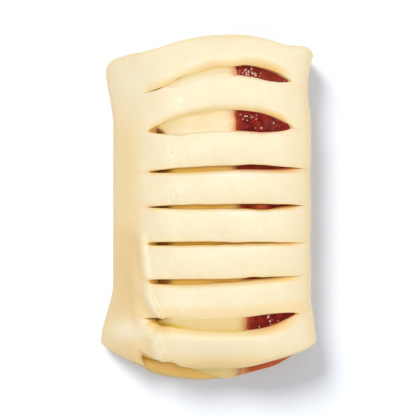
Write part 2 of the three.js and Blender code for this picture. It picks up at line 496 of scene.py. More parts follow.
class ShaderBook:
    """A material under construction: adds nodes and joins them."""

    def __init__(self, name: str) -> None:
        """Starts a material with a plain surface shader.

        Args:
            name: name of the material.
        """
        self.material = bpy.data.materials.new(name)
        self.material.use_nodes = True
        self.tree = self.material.node_tree
        self.surface = self.tree.nodes["Principled BSDF"]
        self.place = self.tree.nodes.new("ShaderNodeTexCoord").outputs["Object"]

    def add(self, kind: str, **settings: object) -> bpy.types.Node:
        """Adds a node.

        Args:
            kind: Blender's kind of node.
            settings: settings by name.

        Returns:
            The node.
        """
        node = self.tree.nodes.new(kind)
        for key, value in settings.items():
            setattr(node, key, value)
        return node

    def feed(self, socket: bpy.types.NodeSocket, value: object) -> None:
        """Joins a socket to another socket, or sets it to a constant.

        Args:
            socket: the socket that is fed.
            value: a socket, a number or a colour.
        """
        if isinstance(value, bpy.types.NodeSocket):
            self.tree.links.new(value, socket)
        elif hasattr(socket.default_value, "__len__") and len(socket.default_value) == 4:
            socket.default_value = (*value, 1.0)
        else:
            socket.default_value = value

    def set_surface(self, **values: object) -> None:
        """Sets or joins sockets of the surface shader, named in lower case with underscores."""
        for key, value in values.items():
            self.feed(self.surface.inputs[key.replace("_", " ").title().replace("Ior", "IOR")], value)

    def attribute(self, name: str) -> bpy.types.NodeSocket:
        """Value of a named point attribute."""
        return self.add("ShaderNodeAttribute", attribute_name=name).outputs["Fac"]

    def noise(self, grain: Grain) -> bpy.types.NodeSocket:
        """Noise from 0 to 1.

        Args:
            grain: the pattern.

        Returns:
            The noise.
        """
        node = self.add("ShaderNodeTexNoise")
        self.feed(node.inputs["Vector"], self.place)
        self.feed(node.inputs["Scale"], 1.0 / (grain.size * MM))
        self.feed(node.inputs["Detail"], grain.detail)
        self.feed(node.inputs["Roughness"], grain.roughness)
        return node.outputs["Fac"]

    def spots(self, size_mm: float) -> bpy.types.NodeSocket:
        """Distance to the nearest of many scattered points.

        Args:
            size_mm: about how far the points are apart.

        Returns:
            The distance, from 0 up.
        """
        node = self.add("ShaderNodeTexVoronoi")
        self.feed(node.inputs["Vector"], self.place)
        self.feed(node.inputs["Scale"], 1.0 / (size_mm * MM))
        return node.outputs["Distance"]

    def rescale(self, value: object, span: Span) -> bpy.types.NodeSocket:
        """Maps a range of a value smoothly to another range.

        Args:
            value: the value.
            span: the two ranges.

        Returns:
            The mapped value.
        """
        node = self.add("ShaderNodeMapRange", interpolation_type="SMOOTHSTEP")
        ends = {"From Min": span.low, "From Max": span.high, "To Min": span.to_low, "To Max": span.to_high}
        for key, number in ends.items():
            self.feed(node.inputs[key], number)
        self.feed(node.inputs["Value"], value)
        return node.outputs["Result"]

    def sum(self, kind: str, a: object, b: object) -> bpy.types.NodeSocket:
        """Arithmetic on two values.

        Args:
            kind: the operation, such as ADD or MULTIPLY.
            a: first value.
            b: second value.

        Returns:
            The result.
        """
        node = self.add("ShaderNodeMath", operation=kind)
        self.feed(node.inputs[0], a)
        self.feed(node.inputs[1], b)
        return node.outputs[0]

    def blend(self, share: object, a: object, b: object) -> bpy.types.NodeSocket:
        """Colour between two colours.

        Args:
            share: how much of the second colour.
            a: first colour.
            b: second colour.

        Returns:
            The colour.
        """
        node = self.add("ShaderNodeMix", data_type="RGBA")
        colours = [s for s in node.inputs if s.type == "RGBA"]
        self.feed(node.inputs["Factor"], share)
        self.feed(colours[0], a)
        self.feed(colours[1], b)
        return next(s for s in node.outputs if s.type == "RGBA")

    def bump(self, height: object, relief: Relief) -> bpy.types.NodeSocket:
        """Normals of a fine relief.

        Args:
            height: the pattern.
            relief: its depth and strength.

        Returns:
            The normals.
        """
        node = self.add("ShaderNodeBump")
        self.feed(node.inputs["Strength"], relief.strength)
        self.feed(node.inputs["Distance"], relief.depth * MM)
        self.feed(node.inputs["Height"], height)
        return node.outputs["Normal"]

    def set_glow(self, glow: Glow) -> None:
        """Sets how light spreads under the surface."""
        self.set_surface(subsurface_weight=glow.weight, subsurface_radius=glow.radius)
        self.set_surface(subsurface_scale=glow.scale * MM)


@dataclass(frozen=True)
class DoughFinish:
    """Raw laminated dough: pale, soft, slightly see-through and damp in places, with painted shade and
    painted highlights.
    """

    # Tones.
    skin: Colour = (0.945, 0.842, 0.635)
    # Golden tone for random clouds and for painted shade on slopes and in shaded zones.
    cloud_and_shade_tone: Colour = (0.92, 0.74, 0.42)
    # Painted shade low on the left, towards the near end.
    low: Colour = (0.82, 0.62, 0.32)
    # Golden tone of cut and stretched dough, partly painted shade at the lips and in the cuts.
    cut: Colour = (0.92, 0.70, 0.32)
    # Deep golden painted shade in the cuts, the linings, the slit tips and under the flap's edge.
    inside: Colour = (0.84, 0.53, 0.10)
    juice: Colour = (0.78, 0.24, 0.15)
    # Dark brown painted shade deep in the slits' left tips.
    soaked: Colour = (0.40, 0.19, 0.03)
    # Pale tone of the painted highlights and the painted glints.
    moist: Colour = (0.985, 0.955, 0.88)
    # Patterns of tone, of painted shade on slopes, of painted glints and of damp.
    clouds: Grain = Grain(9.0, 3.0)
    cloudy: Span = Span(0.3, 0.7, 0.0, 0.18)
    slope_shade: Span = Span(0.03, 0.55, 0.0, 0.8)
    glint_spots: Grain = Grain(0.9, 3.0, 0.6)
    glint_share: Span = Span(0.52, 0.62, 0.0, 0.7)
    patches: Grain = Grain(1.6, 3.0)
    patchy: Span = Span(0.4, 0.6, 0.2, 1.0)
    pores: Grain = Grain(0.7, 3.0, 0.6)
    damp_pores: Span = Span(0.0, 1.0, 0.3, 0.7)
    # Surface.
    relief: Relief = Relief(0.2, 0.25)
    damp_roughness: Span = Span(0.1, 0.6, 0.46, 0.28)
    glow: Glow = Glow(0.6, (1.0, 0.72, 0.36), 0.45)

    def material(self) -> bpy.types.Material:
        """Makes the dough's material.

        Returns:
            The material.
        """
        book = ShaderBook("raw_dough")
        cloudy = book.rescale(book.noise(self.clouds), self.cloudy)
        # Painted shade: steeper faces and the painted shading zones take the golden tone, besides random
        # clouds.
        slope_shade = book.rescale(book.attribute("slope"), self.slope_shade)
        share = book.sum("ADD", book.sum("ADD", cloudy, slope_shade), book.attribute("painted_shading"))
        tone = book.blend(share, self.skin, self.cloud_and_shade_tone)
        zones = (
            ("low", self.low),
            ("painted_highlight", self.moist),
            ("cut", self.cut),
            ("inside", self.inside),
            ("juice", self.juice),
            ("soaked", self.soaked),
        )
        for name, colour in zones:
            tone = book.blend(book.attribute(name), tone, colour)
        # Painted glints: pale flecks where the skin is damp.
        painted_glints = book.rescale(book.noise(self.glint_spots), self.glint_share)
        tone = book.blend(book.sum("MULTIPLY", painted_glints, book.attribute("damp")), tone, self.moist)
        patchy = book.rescale(book.noise(self.patches), self.patchy)
        damp = book.sum("MULTIPLY", book.attribute("damp"), patchy)
        fine = book.sum("MULTIPLY", book.noise(self.pores), book.rescale(damp, self.damp_pores))
        book.set_surface(
            base_color=tone,
            roughness=book.rescale(damp, self.damp_roughness),
            normal=book.bump(fine, self.relief),
        )
        book.set_glow(self.glow)
        return book.material


@dataclass(frozen=True)
class CustardFinish:
    """Smooth set custard, stained where the cherry filling touches it, with golden and deep brown painted
    shade in the slits and holes.
    """

    # Tones.
    cream: Colour = (0.94, 0.82, 0.58)
    # Golden and deep brown painted shade for recessed slits, holes and creases; the stain is darkened the
    # same way.
    golden: Colour = (0.80, 0.54, 0.047)
    deep: Colour = (0.30, 0.102, 0.004)
    stain: Colour = (0.86, 0.40, 0.15)
    shaded_stain: Colour = (0.40, 0.12, 0.03)
    # Edge of the stain.
    stain_grain: Grain = Grain(1.5)
    uneven: Span = Span(0.3, 0.7, -0.06, 0.06)
    stained: Span = Span(0.1, 1.0, 0.0, 1.0)
    # Surface.
    waves: Grain = Grain(2.5, 3.0)
    relief: Relief = Relief(0.3, 0.3)
    roughness: float = 0.38
    glow: Glow = Glow(0.35, (1.0, 0.75, 0.4), 0.25)

    def material(self) -> bpy.types.Material:
        """Makes the custard's material.

        Returns:
            The material.
        """
        book = ShaderBook("custard")
        uneven = book.rescale(book.noise(self.stain_grain), self.uneven)
        edge = book.sum("ADD", book.attribute("bleed"), uneven)
        tone = book.blend(book.attribute("golden"), self.cream, self.golden)
        tone = book.blend(book.attribute("deep"), tone, self.deep)
        stain = book.blend(book.attribute("golden"), self.stain, self.shaded_stain)
        book.set_surface(
            base_color=book.blend(book.rescale(edge, self.stained), tone, stain),
            roughness=self.roughness,
            normal=book.bump(book.noise(self.waves), self.relief),
        )
        book.set_glow(self.glow)
        return book.material


@dataclass(frozen=True)
class CherryFinish:
    """Dark red cherry filling, wet, with bits of fruit in clear juice and thinner at its near end."""

    # Tones.
    juice: Colour = (0.15, 0.011, 0.010)
    fruit: Colour = (0.28, 0.025, 0.017)
    smear: Colour = (0.66, 0.155, 0.06)
    faded: Colour = (0.80, 0.44, 0.18)
    # Bits of fruit.
    pulp: Grain = Grain(2.6, 4.0)
    pulpy: Span = Span(0.35, 0.65, 0.0, 1.0)
    # Surface.
    grain: Grain = Grain(1.1, 3.0)
    bead_size: float = 1.6
    beaded: Span = Span(0.0, 0.5, 0.6, 0.0)
    relief: Relief = Relief(0.3, 0.14)
    roughness: float = 0.16
    specular: float = 0.02
    glow: Glow = Glow(0.12, (1.0, 0.2, 0.15), 1.0)

    def material(self) -> bpy.types.Material:
        """Makes the cherry filling's material.

        Returns:
            The material.
        """
        book = ShaderBook("cherry_filling")
        pieces = book.rescale(book.noise(self.pulp), self.pulpy)
        tone = book.blend(pieces, self.juice, self.fruit)
        tone = book.blend(book.attribute("thin"), tone, self.smear)
        tone = book.blend(book.attribute("fade"), tone, self.faded)
        beads = book.rescale(book.spots(self.bead_size), self.beaded)
        grain = book.sum("ADD", book.noise(self.grain), beads)
        book.set_surface(
            base_color=tone,
            roughness=self.roughness,
            normal=book.bump(grain, self.relief),
            specular_ior_level=self.specular,
        )
        book.set_glow(self.glow)
        return book.material


@dataclass(frozen=True)
class SyrupFinish:
    """Pink syrup of the small bubbles on the cherry filling, its pale mottle partly a painted highlight."""

    deep: Colour = (0.50, 0.12, 0.10)
    # Partly painted highlight: nearly white.
    pale: Colour = (0.96, 0.78, 0.73)
    mottle: Grain = Grain(0.8)
    roughness: float = 0.08
    coat: float = 1.0
    coat_roughness: float = 0.04

    def material(self) -> bpy.types.Material:
        """Makes the syrup's material.

        Returns:
            The material.
        """
        book = ShaderBook("syrup")
        book.set_surface(
            base_color=book.blend(book.noise(self.mottle), self.deep, self.pale),
            roughness=self.roughness,
            coat_weight=self.coat,
            coat_roughness=self.coat_roughness,
        )
        return book.material


@dataclass
class DoughSheet:
    """The folded sheet of dough with its slits, sizes in millimetres."""

    # Outline and cross-section.
    half_length: float = 60.0
    left_edge: float = -33.2
    right_edge: float = 34.8
    height: float = 22.0
    sheet: float = 4.4
    seal: float = 8.6
    margin: float = 8.4
    crown: float = 0.7
    # Rounded edges of the straps and of the ends.
    end_lip: float = 1.7
    end_curl: Bump = Bump(4.0, 8.0, 2.6)
    pressed_lip: float = 3.0
    lip_run_out: float = 0.25
    lip_begin: Ramp = Ramp(1.0, 0.0, 0.06)
    lip_end: Ramp = Ramp(1.0, 0.0, 0.16)
    # How the section changes along the pastry.
    end_sag: Ramp = Ramp(3.0, 0.72, 1.02)
    corner_sag: Ramp = Ramp(3.4, 0.5, 0.95)
    far_left_flare: Ramp = Ramp(2.7, 0.48, 0.82)
    near_left_flare: Ramp = Ramp(4.4, 0.44, 0.8)
    far_right_flare: Ramp = Ramp(1.3, 0.8, 0.92)
    near_right_flare: Ramp = Ramp(2.1, 0.5, 0.8)
    near_opening: Ramp = Ramp(3.0, 0.7, 0.9)
    near_floor: Ramp = Ramp(3.4, 0.8, 0.96)
    layer_change: Ramp = Ramp(1.0, 2.0, 15.0)
    right_waist: Bump = Bump(41.0, 6.0, -1.2)
    # The open ends, and how the flap hangs at the near one.
    far_end: OpenEnd = OpenEnd(
        CrossLine(50.7, 0.013, 9.2, 6.1, 50.5, 2.2),
        CrossLine(51.6, 0.013, 5.0, 6.1, 50.5, 2.2),
        (PlanCorner(-36.2, 3.4), PlanCorner(36.6, 1.8)),
        -1.0,
        Ramp(1.0, -29.0, -22.0),
        (Bump(-28.0, 5.5, 1.4), Bump(26.0, 4.0, -0.5), Bump(34.5, 3.5, 1.2)),
        (Bump(-28.0, 5.5, 1.4),),
    )
    near_end: OpenEnd = OpenEnd(
        CrossLine(-46.8, -0.045, -9.6, 0.0, 36.0, 0.9),
        CrossLine(-46.5, 0.047, -12.6, 0.6, 37.5, 0.78),
        (PlanCorner(-37.9, 1.8), PlanCorner(37.4, 2.2)),
        1.0,
        Ramp(1.0, -26.0, -24.0),
        (Bump(-18.0, 8.0, 0.3), Bump(-12.6, 1.8, 0.75), Bump(22.0, 7.0, 0.4)),
        (
            Ramp(-0.9, -33.0, -37.0),
            Ramp(-1.4, -27.0, -23.5),
            Ramp(-1.4, -21.6, -19.6),
            Ramp(0.5, -19.0, -13.0),
            Ramp(0.3, -6.0, 6.0),
            Ramp(0.9, 7.0, 14.0),
        ),
    )
    near_droop: Bump = Bump(2.0, 11.0, 4.0)
    droop_run: Ramp = Ramp(1.0, -44.0, -61.0)
    near_shear: Bump = Bump(-26.6, 1.9, 3.4)
    shear_run: Ramp = Ramp(1.0, -51.3, -55.2)
    shear_fall: float = 0.4
    # The slits, from the far end.
    slits: tuple[Slit, ...] = (
        Slit(
            CrossLine(40.25, 0.055, 6.9, 6.0), 4.0, -22.3, 29.2, 1.9, Lip.FAR,
            left_power=0.85, right_power=1.0, soft_reach=4.2, soft_drop=0.9, fill=4.3, tilt=0.12,
            golden=0.12, soft_shade=0.8, tip_slant=1.4, tip_shade=0.5, sharp_radius=1.2, meniscus=0.55,
            custard_start=Ramp(1.0, -23.0, -19.0), deep_share=0.35, narrowing=Ramp(0.3, 0.65, 0.9),
            bumps=(
                (Lip.FAR, Bump(-14.6, 1.3, 0.5)),
                (Lip.FAR, Bump(-10.5, 4.0, 0.5)),
                (Lip.FAR, Bump(-4.0, 6.5, 0.8)),
                (Lip.FAR, Bump(8.0, 4.5, 1.0)),
                (Lip.NEAR, Bump(-14.9, 1.3, 0.4)),
            ),
        ),
        Slit(
            CrossLine(26.35, 0.028, 3.5), 7.0, -20.8, 29.8, 1.4, Lip.FAR, right_power=1.0,
            soft_reach=2.2, soft_drop=0.6, fill=4.4, tilt=0.11, golden=0.19, soft_shade=0.28, tip_shade=0.45,
            tip_slant=1.4, left_tip_slant=1.6, sharp_radius=1.2, meniscus=0.55,
            custard_start=Ramp(1.0, -18.6, -15.0), front_shift=1.2, front_slant=1.6, soaked=0.0,
        ),
        Slit(
            CrossLine(12.5, 0.024, 0.7), 1.65, -20.6, 33.0, 1.1, Lip.NEAR, right_power=1.6, fullness=3.0,
            soft_reach=1.5, soft_drop=0.9, fill=1.8, golden=0.9,
            bumps=((Lip.FAR, Bump(16.0, 6.5, -0.35)), (Lip.NEAR, Bump(12.0, 8.0, 0.35))),
        ),
        Slit(
            CrossLine(0.17, 0.008, 0.0), 1.55, -20.6, 33.0, 1.3, Lip.NEAR, right_power=1.2, fullness=3.0,
            soft_reach=1.0, soft_drop=0.6, fill=1.8, golden=0.9,
            bumps=((Lip.NEAR, Bump(18.5, 6.0, -0.45)),),
        ),
        Slit(
            CrossLine(-12.55, 0.006, 0.1), 1.25, -20.6, 33.2, 0.45, Lip.NEAR, right_power=1.0,
            soft_reach=1.0, soft_drop=0.6, fill=1.6, golden=1.0, right_slant=1.6,
            bumps=((Lip.FAR, Bump(10.0, 5.0, 0.25)),),
        ),
        Slit(
            CrossLine(-24.8, 0.037, -0.9), 1.85, -20.2, 33.0, 0.5, Lip.NEAR, right_power=1.7,
            soft_reach=1.8, soft_drop=1.0, fill=1.8, golden=0.9, right_slant=0.8, tip_slant=2.4,
            bumps=((Lip.FAR, Bump(15.5, 3.0, -0.4)), (Lip.NEAR, Bump(3.0, 10.0, 0.25))),
        ),
        Slit(
            CrossLine(-37.4, 0.035, -3.8), 4.8, -22.0, 31.6, 1.1, Lip.NEAR, left_power=0.9, right_power=1.0,
            soft_reach=3.6, soft_drop=1.1, fill=4.35, tilt=0.12, golden=0.46, soft_shade=0.2, tip_slant=1.4,
            left_tip_slant=2.4, custard_start=Ramp(1.0, -17.6, -12.6), front_shift=2.8, front_slant=1.6,
            crease=0.65, soaked=0.6,
            bumps=(
                (Lip.FAR, Bump(-15.6, 0.8, 0.6)),
                (Lip.NEAR, Bump(-1.0, 12.0, 0.9)),
                (Lip.NEAR, Bump(-16.6, 3.0, -1.1)),
                (Lip.NEAR, Bump(21.5, 6.0, -0.6)),
            ),
        ),
    )
    # Unevenness of the skin, then folds, creases and finger marks.
    swell: Ripple = Ripple(11, 9.0, 26.0)
    swell_height: float = 0.2
    lumps: Ripple = Ripple(12, 2.4, 6.0, 24)
    lump_height: float = 0.05
    beads: Ripple = Ripple(13, 1.1, 2.2, 40)
    bead_height: float = 0.03
    marks: tuple[Ridge | Dimple, ...] = (
        Ridge(((-22.4, -8.0), (-21.2, -17.0), (-19.9, -25.8)), 0.8, 1.6, 0.9, 0.5, 5.0, 2.0),
        Ridge(((-20.9, -26.8), (-18.8, -32.0), (-15.6, -38.4)), 1.4, 2.2, 0.4, 0.8, 5.0, 0.8),
        Ridge(((-17.6, -43.2), (-16.7, -48.0), (-15.2, -55.0)), 1.6, 2.6, 0.6, 0.9, 2.5, 1.5),
        Ridge(((18.2, -13.6), (17.7, -18.0), (17.9, -23.4)), -0.1, 0.7, 0.7),
        Ridge(((-27.4, 1.2), (-25.0, -2.6), (-22.6, -5.6)), -0.22, 0.8, 0.5),
        Ridge(((-32.0, -16.4), (-29.6, -21.6), (-26.4, -26.4)), -0.25, 1.0, 0.7),
        Ridge(((-25.4, -14.0), (-24.4, -22.0), (-22.6, -30.0)), -0.3, 1.2, 1.0),
        Ridge(((-29.0, -26.0), (-27.6, -34.0), (-24.4, -44.0)), -0.5, 2.2, 1.6),
        Dimple(-17.6, -40.6, 2.4, 1.0),
        Dimple(-28.0, 50.0, 3.2, 0.7),
        Dimple(-31.5, -44.0, 4.0, -0.5),
        Dimple(-23.6, -55.4, 2.6, 3.0),
        Dimple(-31.0, 30.0, 4.0, 0.3),
    )
    # Sloping tips of the slits, and the slant of the straps' undersides.
    left_tip: float = 2.4
    right_tip: float = 2.4
    tip_run: float = 0.16
    slant_power: int = 4
    # Painted shade as golden zones and painted highlights as pale zones of the skin: low on the left, near
    # the near end, along the straps' near edges, in creases and on crests.
    margin_side: Ramp = Ramp(0.62, -20.0, -27.0)
    margin_run: Ramp = Ramp(1.0, 32.0, 22.0)
    far_left_highlight: Bump = Bump(45.5, 7.0, 0.7)
    near_left_highlight: Bump = Bump(-42.6, 5.5, 1.05)
    low_side: Ramp = Ramp(0.8, -20.0, -27.0)
    low_run: Ramp = Ramp(1.0, -2.0, -14.0)
    low_shade_lift: Bump = Bump(-42.6, 5.5, 1.0)
    near_end_shade: Ramp = Ramp(0.4, -50.0, -57.0)
    corner_shades: tuple[Dimple, ...] = (Dimple(-36.0, 46.5, 3.5, -0.5), Dimple(-24.0, -54.6, 3.0, -0.7))
    mark_shades: tuple[Dimple, ...] = (Dimple(-18.2, -40.2, 1.8, -0.6), Dimple(-15.0, -41.2, 1.8, -0.3))
    tip_halo: Bump = Bump(2.0, 2.4, 0.55)
    tip_across: Bump = Bump(0.0, 0.95, 1.0)
    narrow_golden: float = 0.9
    strap_edge_shade: float = 0.25
    strap_edge_shade_power: int = 5
    lip_shade: float = 0.6
    lip_shade_power: int = 14
    first_shaded_strap: int = 2
    folded_strap: int = 6
    fold_shade: Ramp = Ramp(0.55, 0.6, 0.74)
    edge_left: Ramp = Ramp(1.0, -26.0, -20.0)
    edge_right: Ramp = Ramp(1.0, 36.0, 31.0)
    far_highlight: float = 0.12
    valley_shade: float = 0.5
    crest_highlight: float = 0.5
    end_shade_lift: Ramp = Ramp(0.35, -50.0, -58.0)
    near_shade_across: Bump = Bump(2.0, 16.0, 0.7)
    golden_run: float = 3.6
    golden_fall: float = 1.5
    edge_shade: float = 0.6
    wide_gold: Ramp = Ramp(1.0, 0.55, 0.9)
    lip_fall: tuple[float, float] = (1.5, 0.7)
    left_cut: Ramp = Ramp(1.0, -11.0, -15.0)
    # Painted highlights, and moist zones of the skin, which are smoother, beaded and painted with glints.
    strap_highlight: tuple[float, ...] = (0.0, 0.0, 0.0, 0.5, 0.45, 0.15, 0.0, 0.0)
    highlight_along: Bump = Bump(0.13, 0.1, 1.0)
    highlight_across: Bump = Bump(11.0, 10.0, 1.0)
    damp_across: Bump = Bump(-12.0, 6.0, 1.0)
    damp_along: Bump = Bump(0.65, 0.3, 1.0)
    damp_corner: Dimple = Dimple(-29.5, -43.0, 4.5, -0.6)
    strap_damp: tuple[float, ...] = (0.0, 0.6, 1.0, 1.0, 1.0, 0.7, 0.7, 0.1)
    # Juice on the skin and in the cuts, and tones of the cuts, which paint shade growing deeper down.
    stained_slits: tuple[int, ...] = (1, 2, 6)
    stain_side: Ramp = Ramp(1.0, -0.5, 2.5)
    stain_stop: Ramp = Ramp(1.0, -3.5, 1.5)
    stain_share: float = 0.4
    stain_run: float = 0.9
    stained_cuts: tuple[int, ...] = (0, 1, 2, 6)
    juice_side: Ramp = Ramp(0.95, -0.5, 1.5)
    juice_stop: Ramp = Ramp(1.0, 2.0, 6.0)
    wall_juice: float = 0.7
    wall_rim_shade: float = 0.4
    wall_shade_power: float = 0.4
    wall_cut: float = 0.6
    zones: tuple[str, ...] = ("damp", "painted_shading", "low", "painted_highlight", "cut", "inside", "juice", "soaked")
    # Grid of the mesh.
    slit_columns: int = 164
    rest_columns: int = 84
    left_crowding: float = 1.35
    column_crowding: float = 0.75
    row_crowding: float = 0.6
    strap_rows: int = 32
    inner_rows: int = 6
    wall_rows: int = 6
    tangent_step: float = 0.003
    lay_rounds: int = 2
    top_span: tuple[float, float] = (0.08, 0.55)
    top_steps: int = 1200

    @property
    def straps(self) -> int:
        """Number of straps."""
        return len(self.slits) + 1

    def roof(self, y: Array | float) -> Array:
        """Height of the straps' underside at y."""
        return self.height - self.crown - self.sheet - self.end_sag.at(np.abs(y) / self.half_length)

    def droop(self, x: Array, y: Array) -> Array:
        """How far the upper layer hangs down at the near end."""
        return self.near_droop.at(x) * self.droop_run.at(y)

    def controls(self, y: Array) -> Array:
        """Control points of the cross-section at places along the pastry.

        Args:
            y: the places.

        Returns:
            x and z of the outside, then of the inside, clockwise from the pressed edge, for every place.
        """
        share = y / self.half_length
        left = self.left_edge - self.far_left_flare.at(share) - self.near_left_flare.at(-share)
        right = self.right_edge + self.far_right_flare.at(share) + self.near_right_flare.at(-share)
        right = right + self.right_waist.at(y)
        roof = self.roof(y)
        top = roof + self.sheet
        margin = self.margin - self.corner_sag.at(np.abs(share))
        seal = left + self.seal - self.near_opening.at(-share)
        floor = self.sheet
        rise = self.near_floor.at(-share)
        rows = (
            (left - 0.7, margin * 0.4, seal - 0.8, floor + rise + 0.4),  # pressed edge
            (left + 0.2, margin, seal + 0.4, floor + rise + 1.0),  # top of the pressed edge
            (left + 5.6, margin + 5.0, seal + 1.0, margin + 1.6 + rise / 2),  # slope beside it
            (-20.6, top - 2.2, -19.4, roof - 1.8),  # left shoulder
            (-12.0, top, -11.2, roof - 0.2),  # straps, from left to right
            (0.0, top + 0.1, 0.0, roof),
            (14.0, top + 0.1, 13.0, roof),
            (right - 9.5, top - 0.1, right - 12.0, roof - 0.1),
            (right - 0.6, top - 3.4, right - 5.2, roof - 2.2),  # right shoulder
            (right + 0.9, top / 2 + 0.4, right - 4.0, top / 2 + 0.3),  # fold
            (right + 0.4, 3.2, right - 4.8, floor + 1.4),  # foot of the fold
            (right - 6.5, 0.0, right - 10.0, floor),  # underside, from right to left
            (16.0, 0.0, 15.0, floor),
            (-4.0, 0.0, -4.0, floor + rise / 2),
            (left + 10.0, 0.0, seal + 7.0, floor + rise),
            (left + 1.4, 0.0, seal + 1.0, floor + rise),
        )
        return np.stack([np.stack([np.broadcast_to(v, y.shape) for v in row], -1) for row in rows], 1)

    def place_on_top(self, y: float, x: float) -> float:
        """Share of the way round the section, on its upper side, where the outside reaches x.

        Args:
            y: place along the pastry.
            x: place across it.

        Returns:
            The share.
        """
        shares = np.linspace(*self.top_span, self.top_steps)
        outside = closed_spline(self.controls(np.full(shares.shape, y)), shares)[:, 0]
        return float(np.interp(x, outside, shares))

    def slits_beside(self, strap: int) -> tuple[Slit | None, Slit | None]:
        """The slits on a strap's far and near side, none at the pastry's ends.

        Args:
            strap: number of the strap from the far end.

        Returns:
            The two slits.
        """
        far = self.slits[strap - 1] if strap > 0 else None
        near = self.slits[strap] if strap < len(self.slits) else None
        return far, near

    def edges(self, strap: int, x: Array, share: Array) -> tuple[Array, Array]:
        """y of a strap's far and near edge on the upper layer.

        Args:
            strap: number of the strap from the far end.
            x: places across the pastry.
            share: share of the slits' length at those places.

        Returns:
            The two edges.
        """
        far_slit, near_slit = self.slits_beside(strap)
        far = far_slit.lip_at(Lip.NEAR, x, share) if far_slit else self.far_end.layers(x)[0]
        near = near_slit.lip_at(Lip.FAR, x, share) if near_slit else self.near_end.layers(x)[0]
        return far, near

    def edge_drop(self, slit: Slit | None, lip: Lip, distance: Array, parted: Array, x: Array) -> Array:
        """Depth of a strap's rounded edge below its full surface.

        Args:
            slit: the slit beside the edge, or none at the pastry's end.
            lip: which of the slit's lips this edge is.
            distance: distance from the edge.
            parted: how far the straps on both sides are apart, from 0 to 1.
            x: places across the pastry.

        Returns:
            The depth.
        """
        if slit is None:
            radius = mix(self.pressed_lip, self.end_lip + self.end_curl.at(x), self.edge_left.at(x))
            return self.round_drop(radius, distance)
        if slit.soft is lip:
            return slit.soft_drop * np.clip(1 - distance / slit.soft_reach, 0, 1) ** 2 * parted
        return self.round_drop(np.full_like(x, slit.sharp_radius), distance) * parted

    def round_drop(self, radius: Array, distance: Array) -> Array:
        """Depth of a round edge below its surface at a distance from it."""
        inside = np.clip(radius - distance, 0, radius)
        return radius - np.sqrt(radius**2 - inside**2)

    def strap_relief(self, strap: int, row: Array, width: Array, share: Array, x: Array) -> Array:
        """How far a strap's surface stands over its edges: a crown with rounded lips.

        Args:
            strap: number of the strap from the far end.
            row: share of the strap's width, from its far edge.
            width: the strap's width.
            share: share of the slits' length.
            x: places across the pastry.

        Returns:
            The heights.
        """
        parted = self.parted(share)
        far_slit, near_slit = self.slits_beside(strap)
        far = self.edge_drop(far_slit, Lip.NEAR, row * width, parted, x)
        near = self.edge_drop(near_slit, Lip.FAR, (1 - row) * width, parted, x)
        return self.crown - parted * self.crown * (2 * row - 1) ** 2 - far - near

    def parted(self, share: Array) -> Array:
        """How far the straps beside a slit are apart, from 0 at its tips to 1."""
        return np.clip(np.minimum(share, 1 - share) / self.lip_run_out, 0, 1)

    def lining_shift(self, strap: int, row: Array, share: Array, x: Array) -> Array:
        """How far a strap's underside is shifted along the pastry by the slant of the cuts.

        Args:
            strap: number of the strap from the far end.
            row: share of the strap's width, from its far edge.
            share: share of the slits' length.
            x: places across the pastry.

        Returns:
            The shift.
        """
        far_slit, near_slit = self.slits_beside(strap)
        shift = np.zeros_like(row)
        for slit, nearness in ((far_slit, 1 - row), (near_slit, row)):
            if slit:
                shift -= slit.soft.value * slit.slant(x, share) * nearness**self.slant_power
        return shift

    def tip_slope(self, share: Array) -> Array:
        """How far the underside's slit starts later than the skin's at both tips, so that the tips slope.

        Args:
            share: share of the slits' length.

        Returns:
            The shift across the pastry.
        """
        left = np.clip(1 - share / self.tip_run, 0, 1) ** 2 * self.left_tip
        right = np.clip(1 - (1 - share) / self.tip_run, 0, 1) ** 2 * self.right_tip
        return left - right

    def lay(self, strap: int, row: Array, share: Array, x: Array, z: Array) -> Array:
        """y of a strap's points: its own edges on the upper layer, evenly shared on the lower one.

        Args:
            strap: number of the strap from the far end.
            row: share of the strap's width, from its far edge.
            share: share of the slits' length.
            x: places across the pastry.
            z: heights, which tell the layers apart.

        Returns:
            The points' y.
        """
        far, near = self.edges(strap, x, share)
        whole = (strap + row) / self.straps
        lower = mix(self.far_end.layers(x)[1], self.near_end.layers(x)[1], whole)
        return mix(lower, mix(far, near, row), self.layer_change.at(z))

    def columns(self, strap: int) -> tuple[Array, Array, Array, Array]:
        """Columns of a strap's grid round the section.

        Args:
            strap: number of the strap from the far end.

        Returns:
            Places round the section on the strap's far and near side, the share of the slits' length, and
            which columns are on the slits.
        """
        number = np.arange(self.slit_columns + self.rest_columns)
        on_slits = number <= self.slit_columns
        share = np.where(on_slits, (number / self.slit_columns) ** self.left_crowding, 0.0)
        even = (number - self.slit_columns) / self.rest_columns
        way_round = even - self.column_crowding * np.sin(2 * math.pi * even) / (2 * math.pi)
        sides = []
        for line in (strap - 1, strap):
            slit = self.slits[min(max(line, 0), len(self.slits) - 1)]
            start = self.place_on_top(slit.line.y, slit.start)
            stop = self.place_on_top(slit.line.y, slit.stop)
            sides.append(np.where(on_slits, mix(start, stop, share), mix(stop, 1 + start, way_round)))
        return sides[0], sides[1], share, on_slits

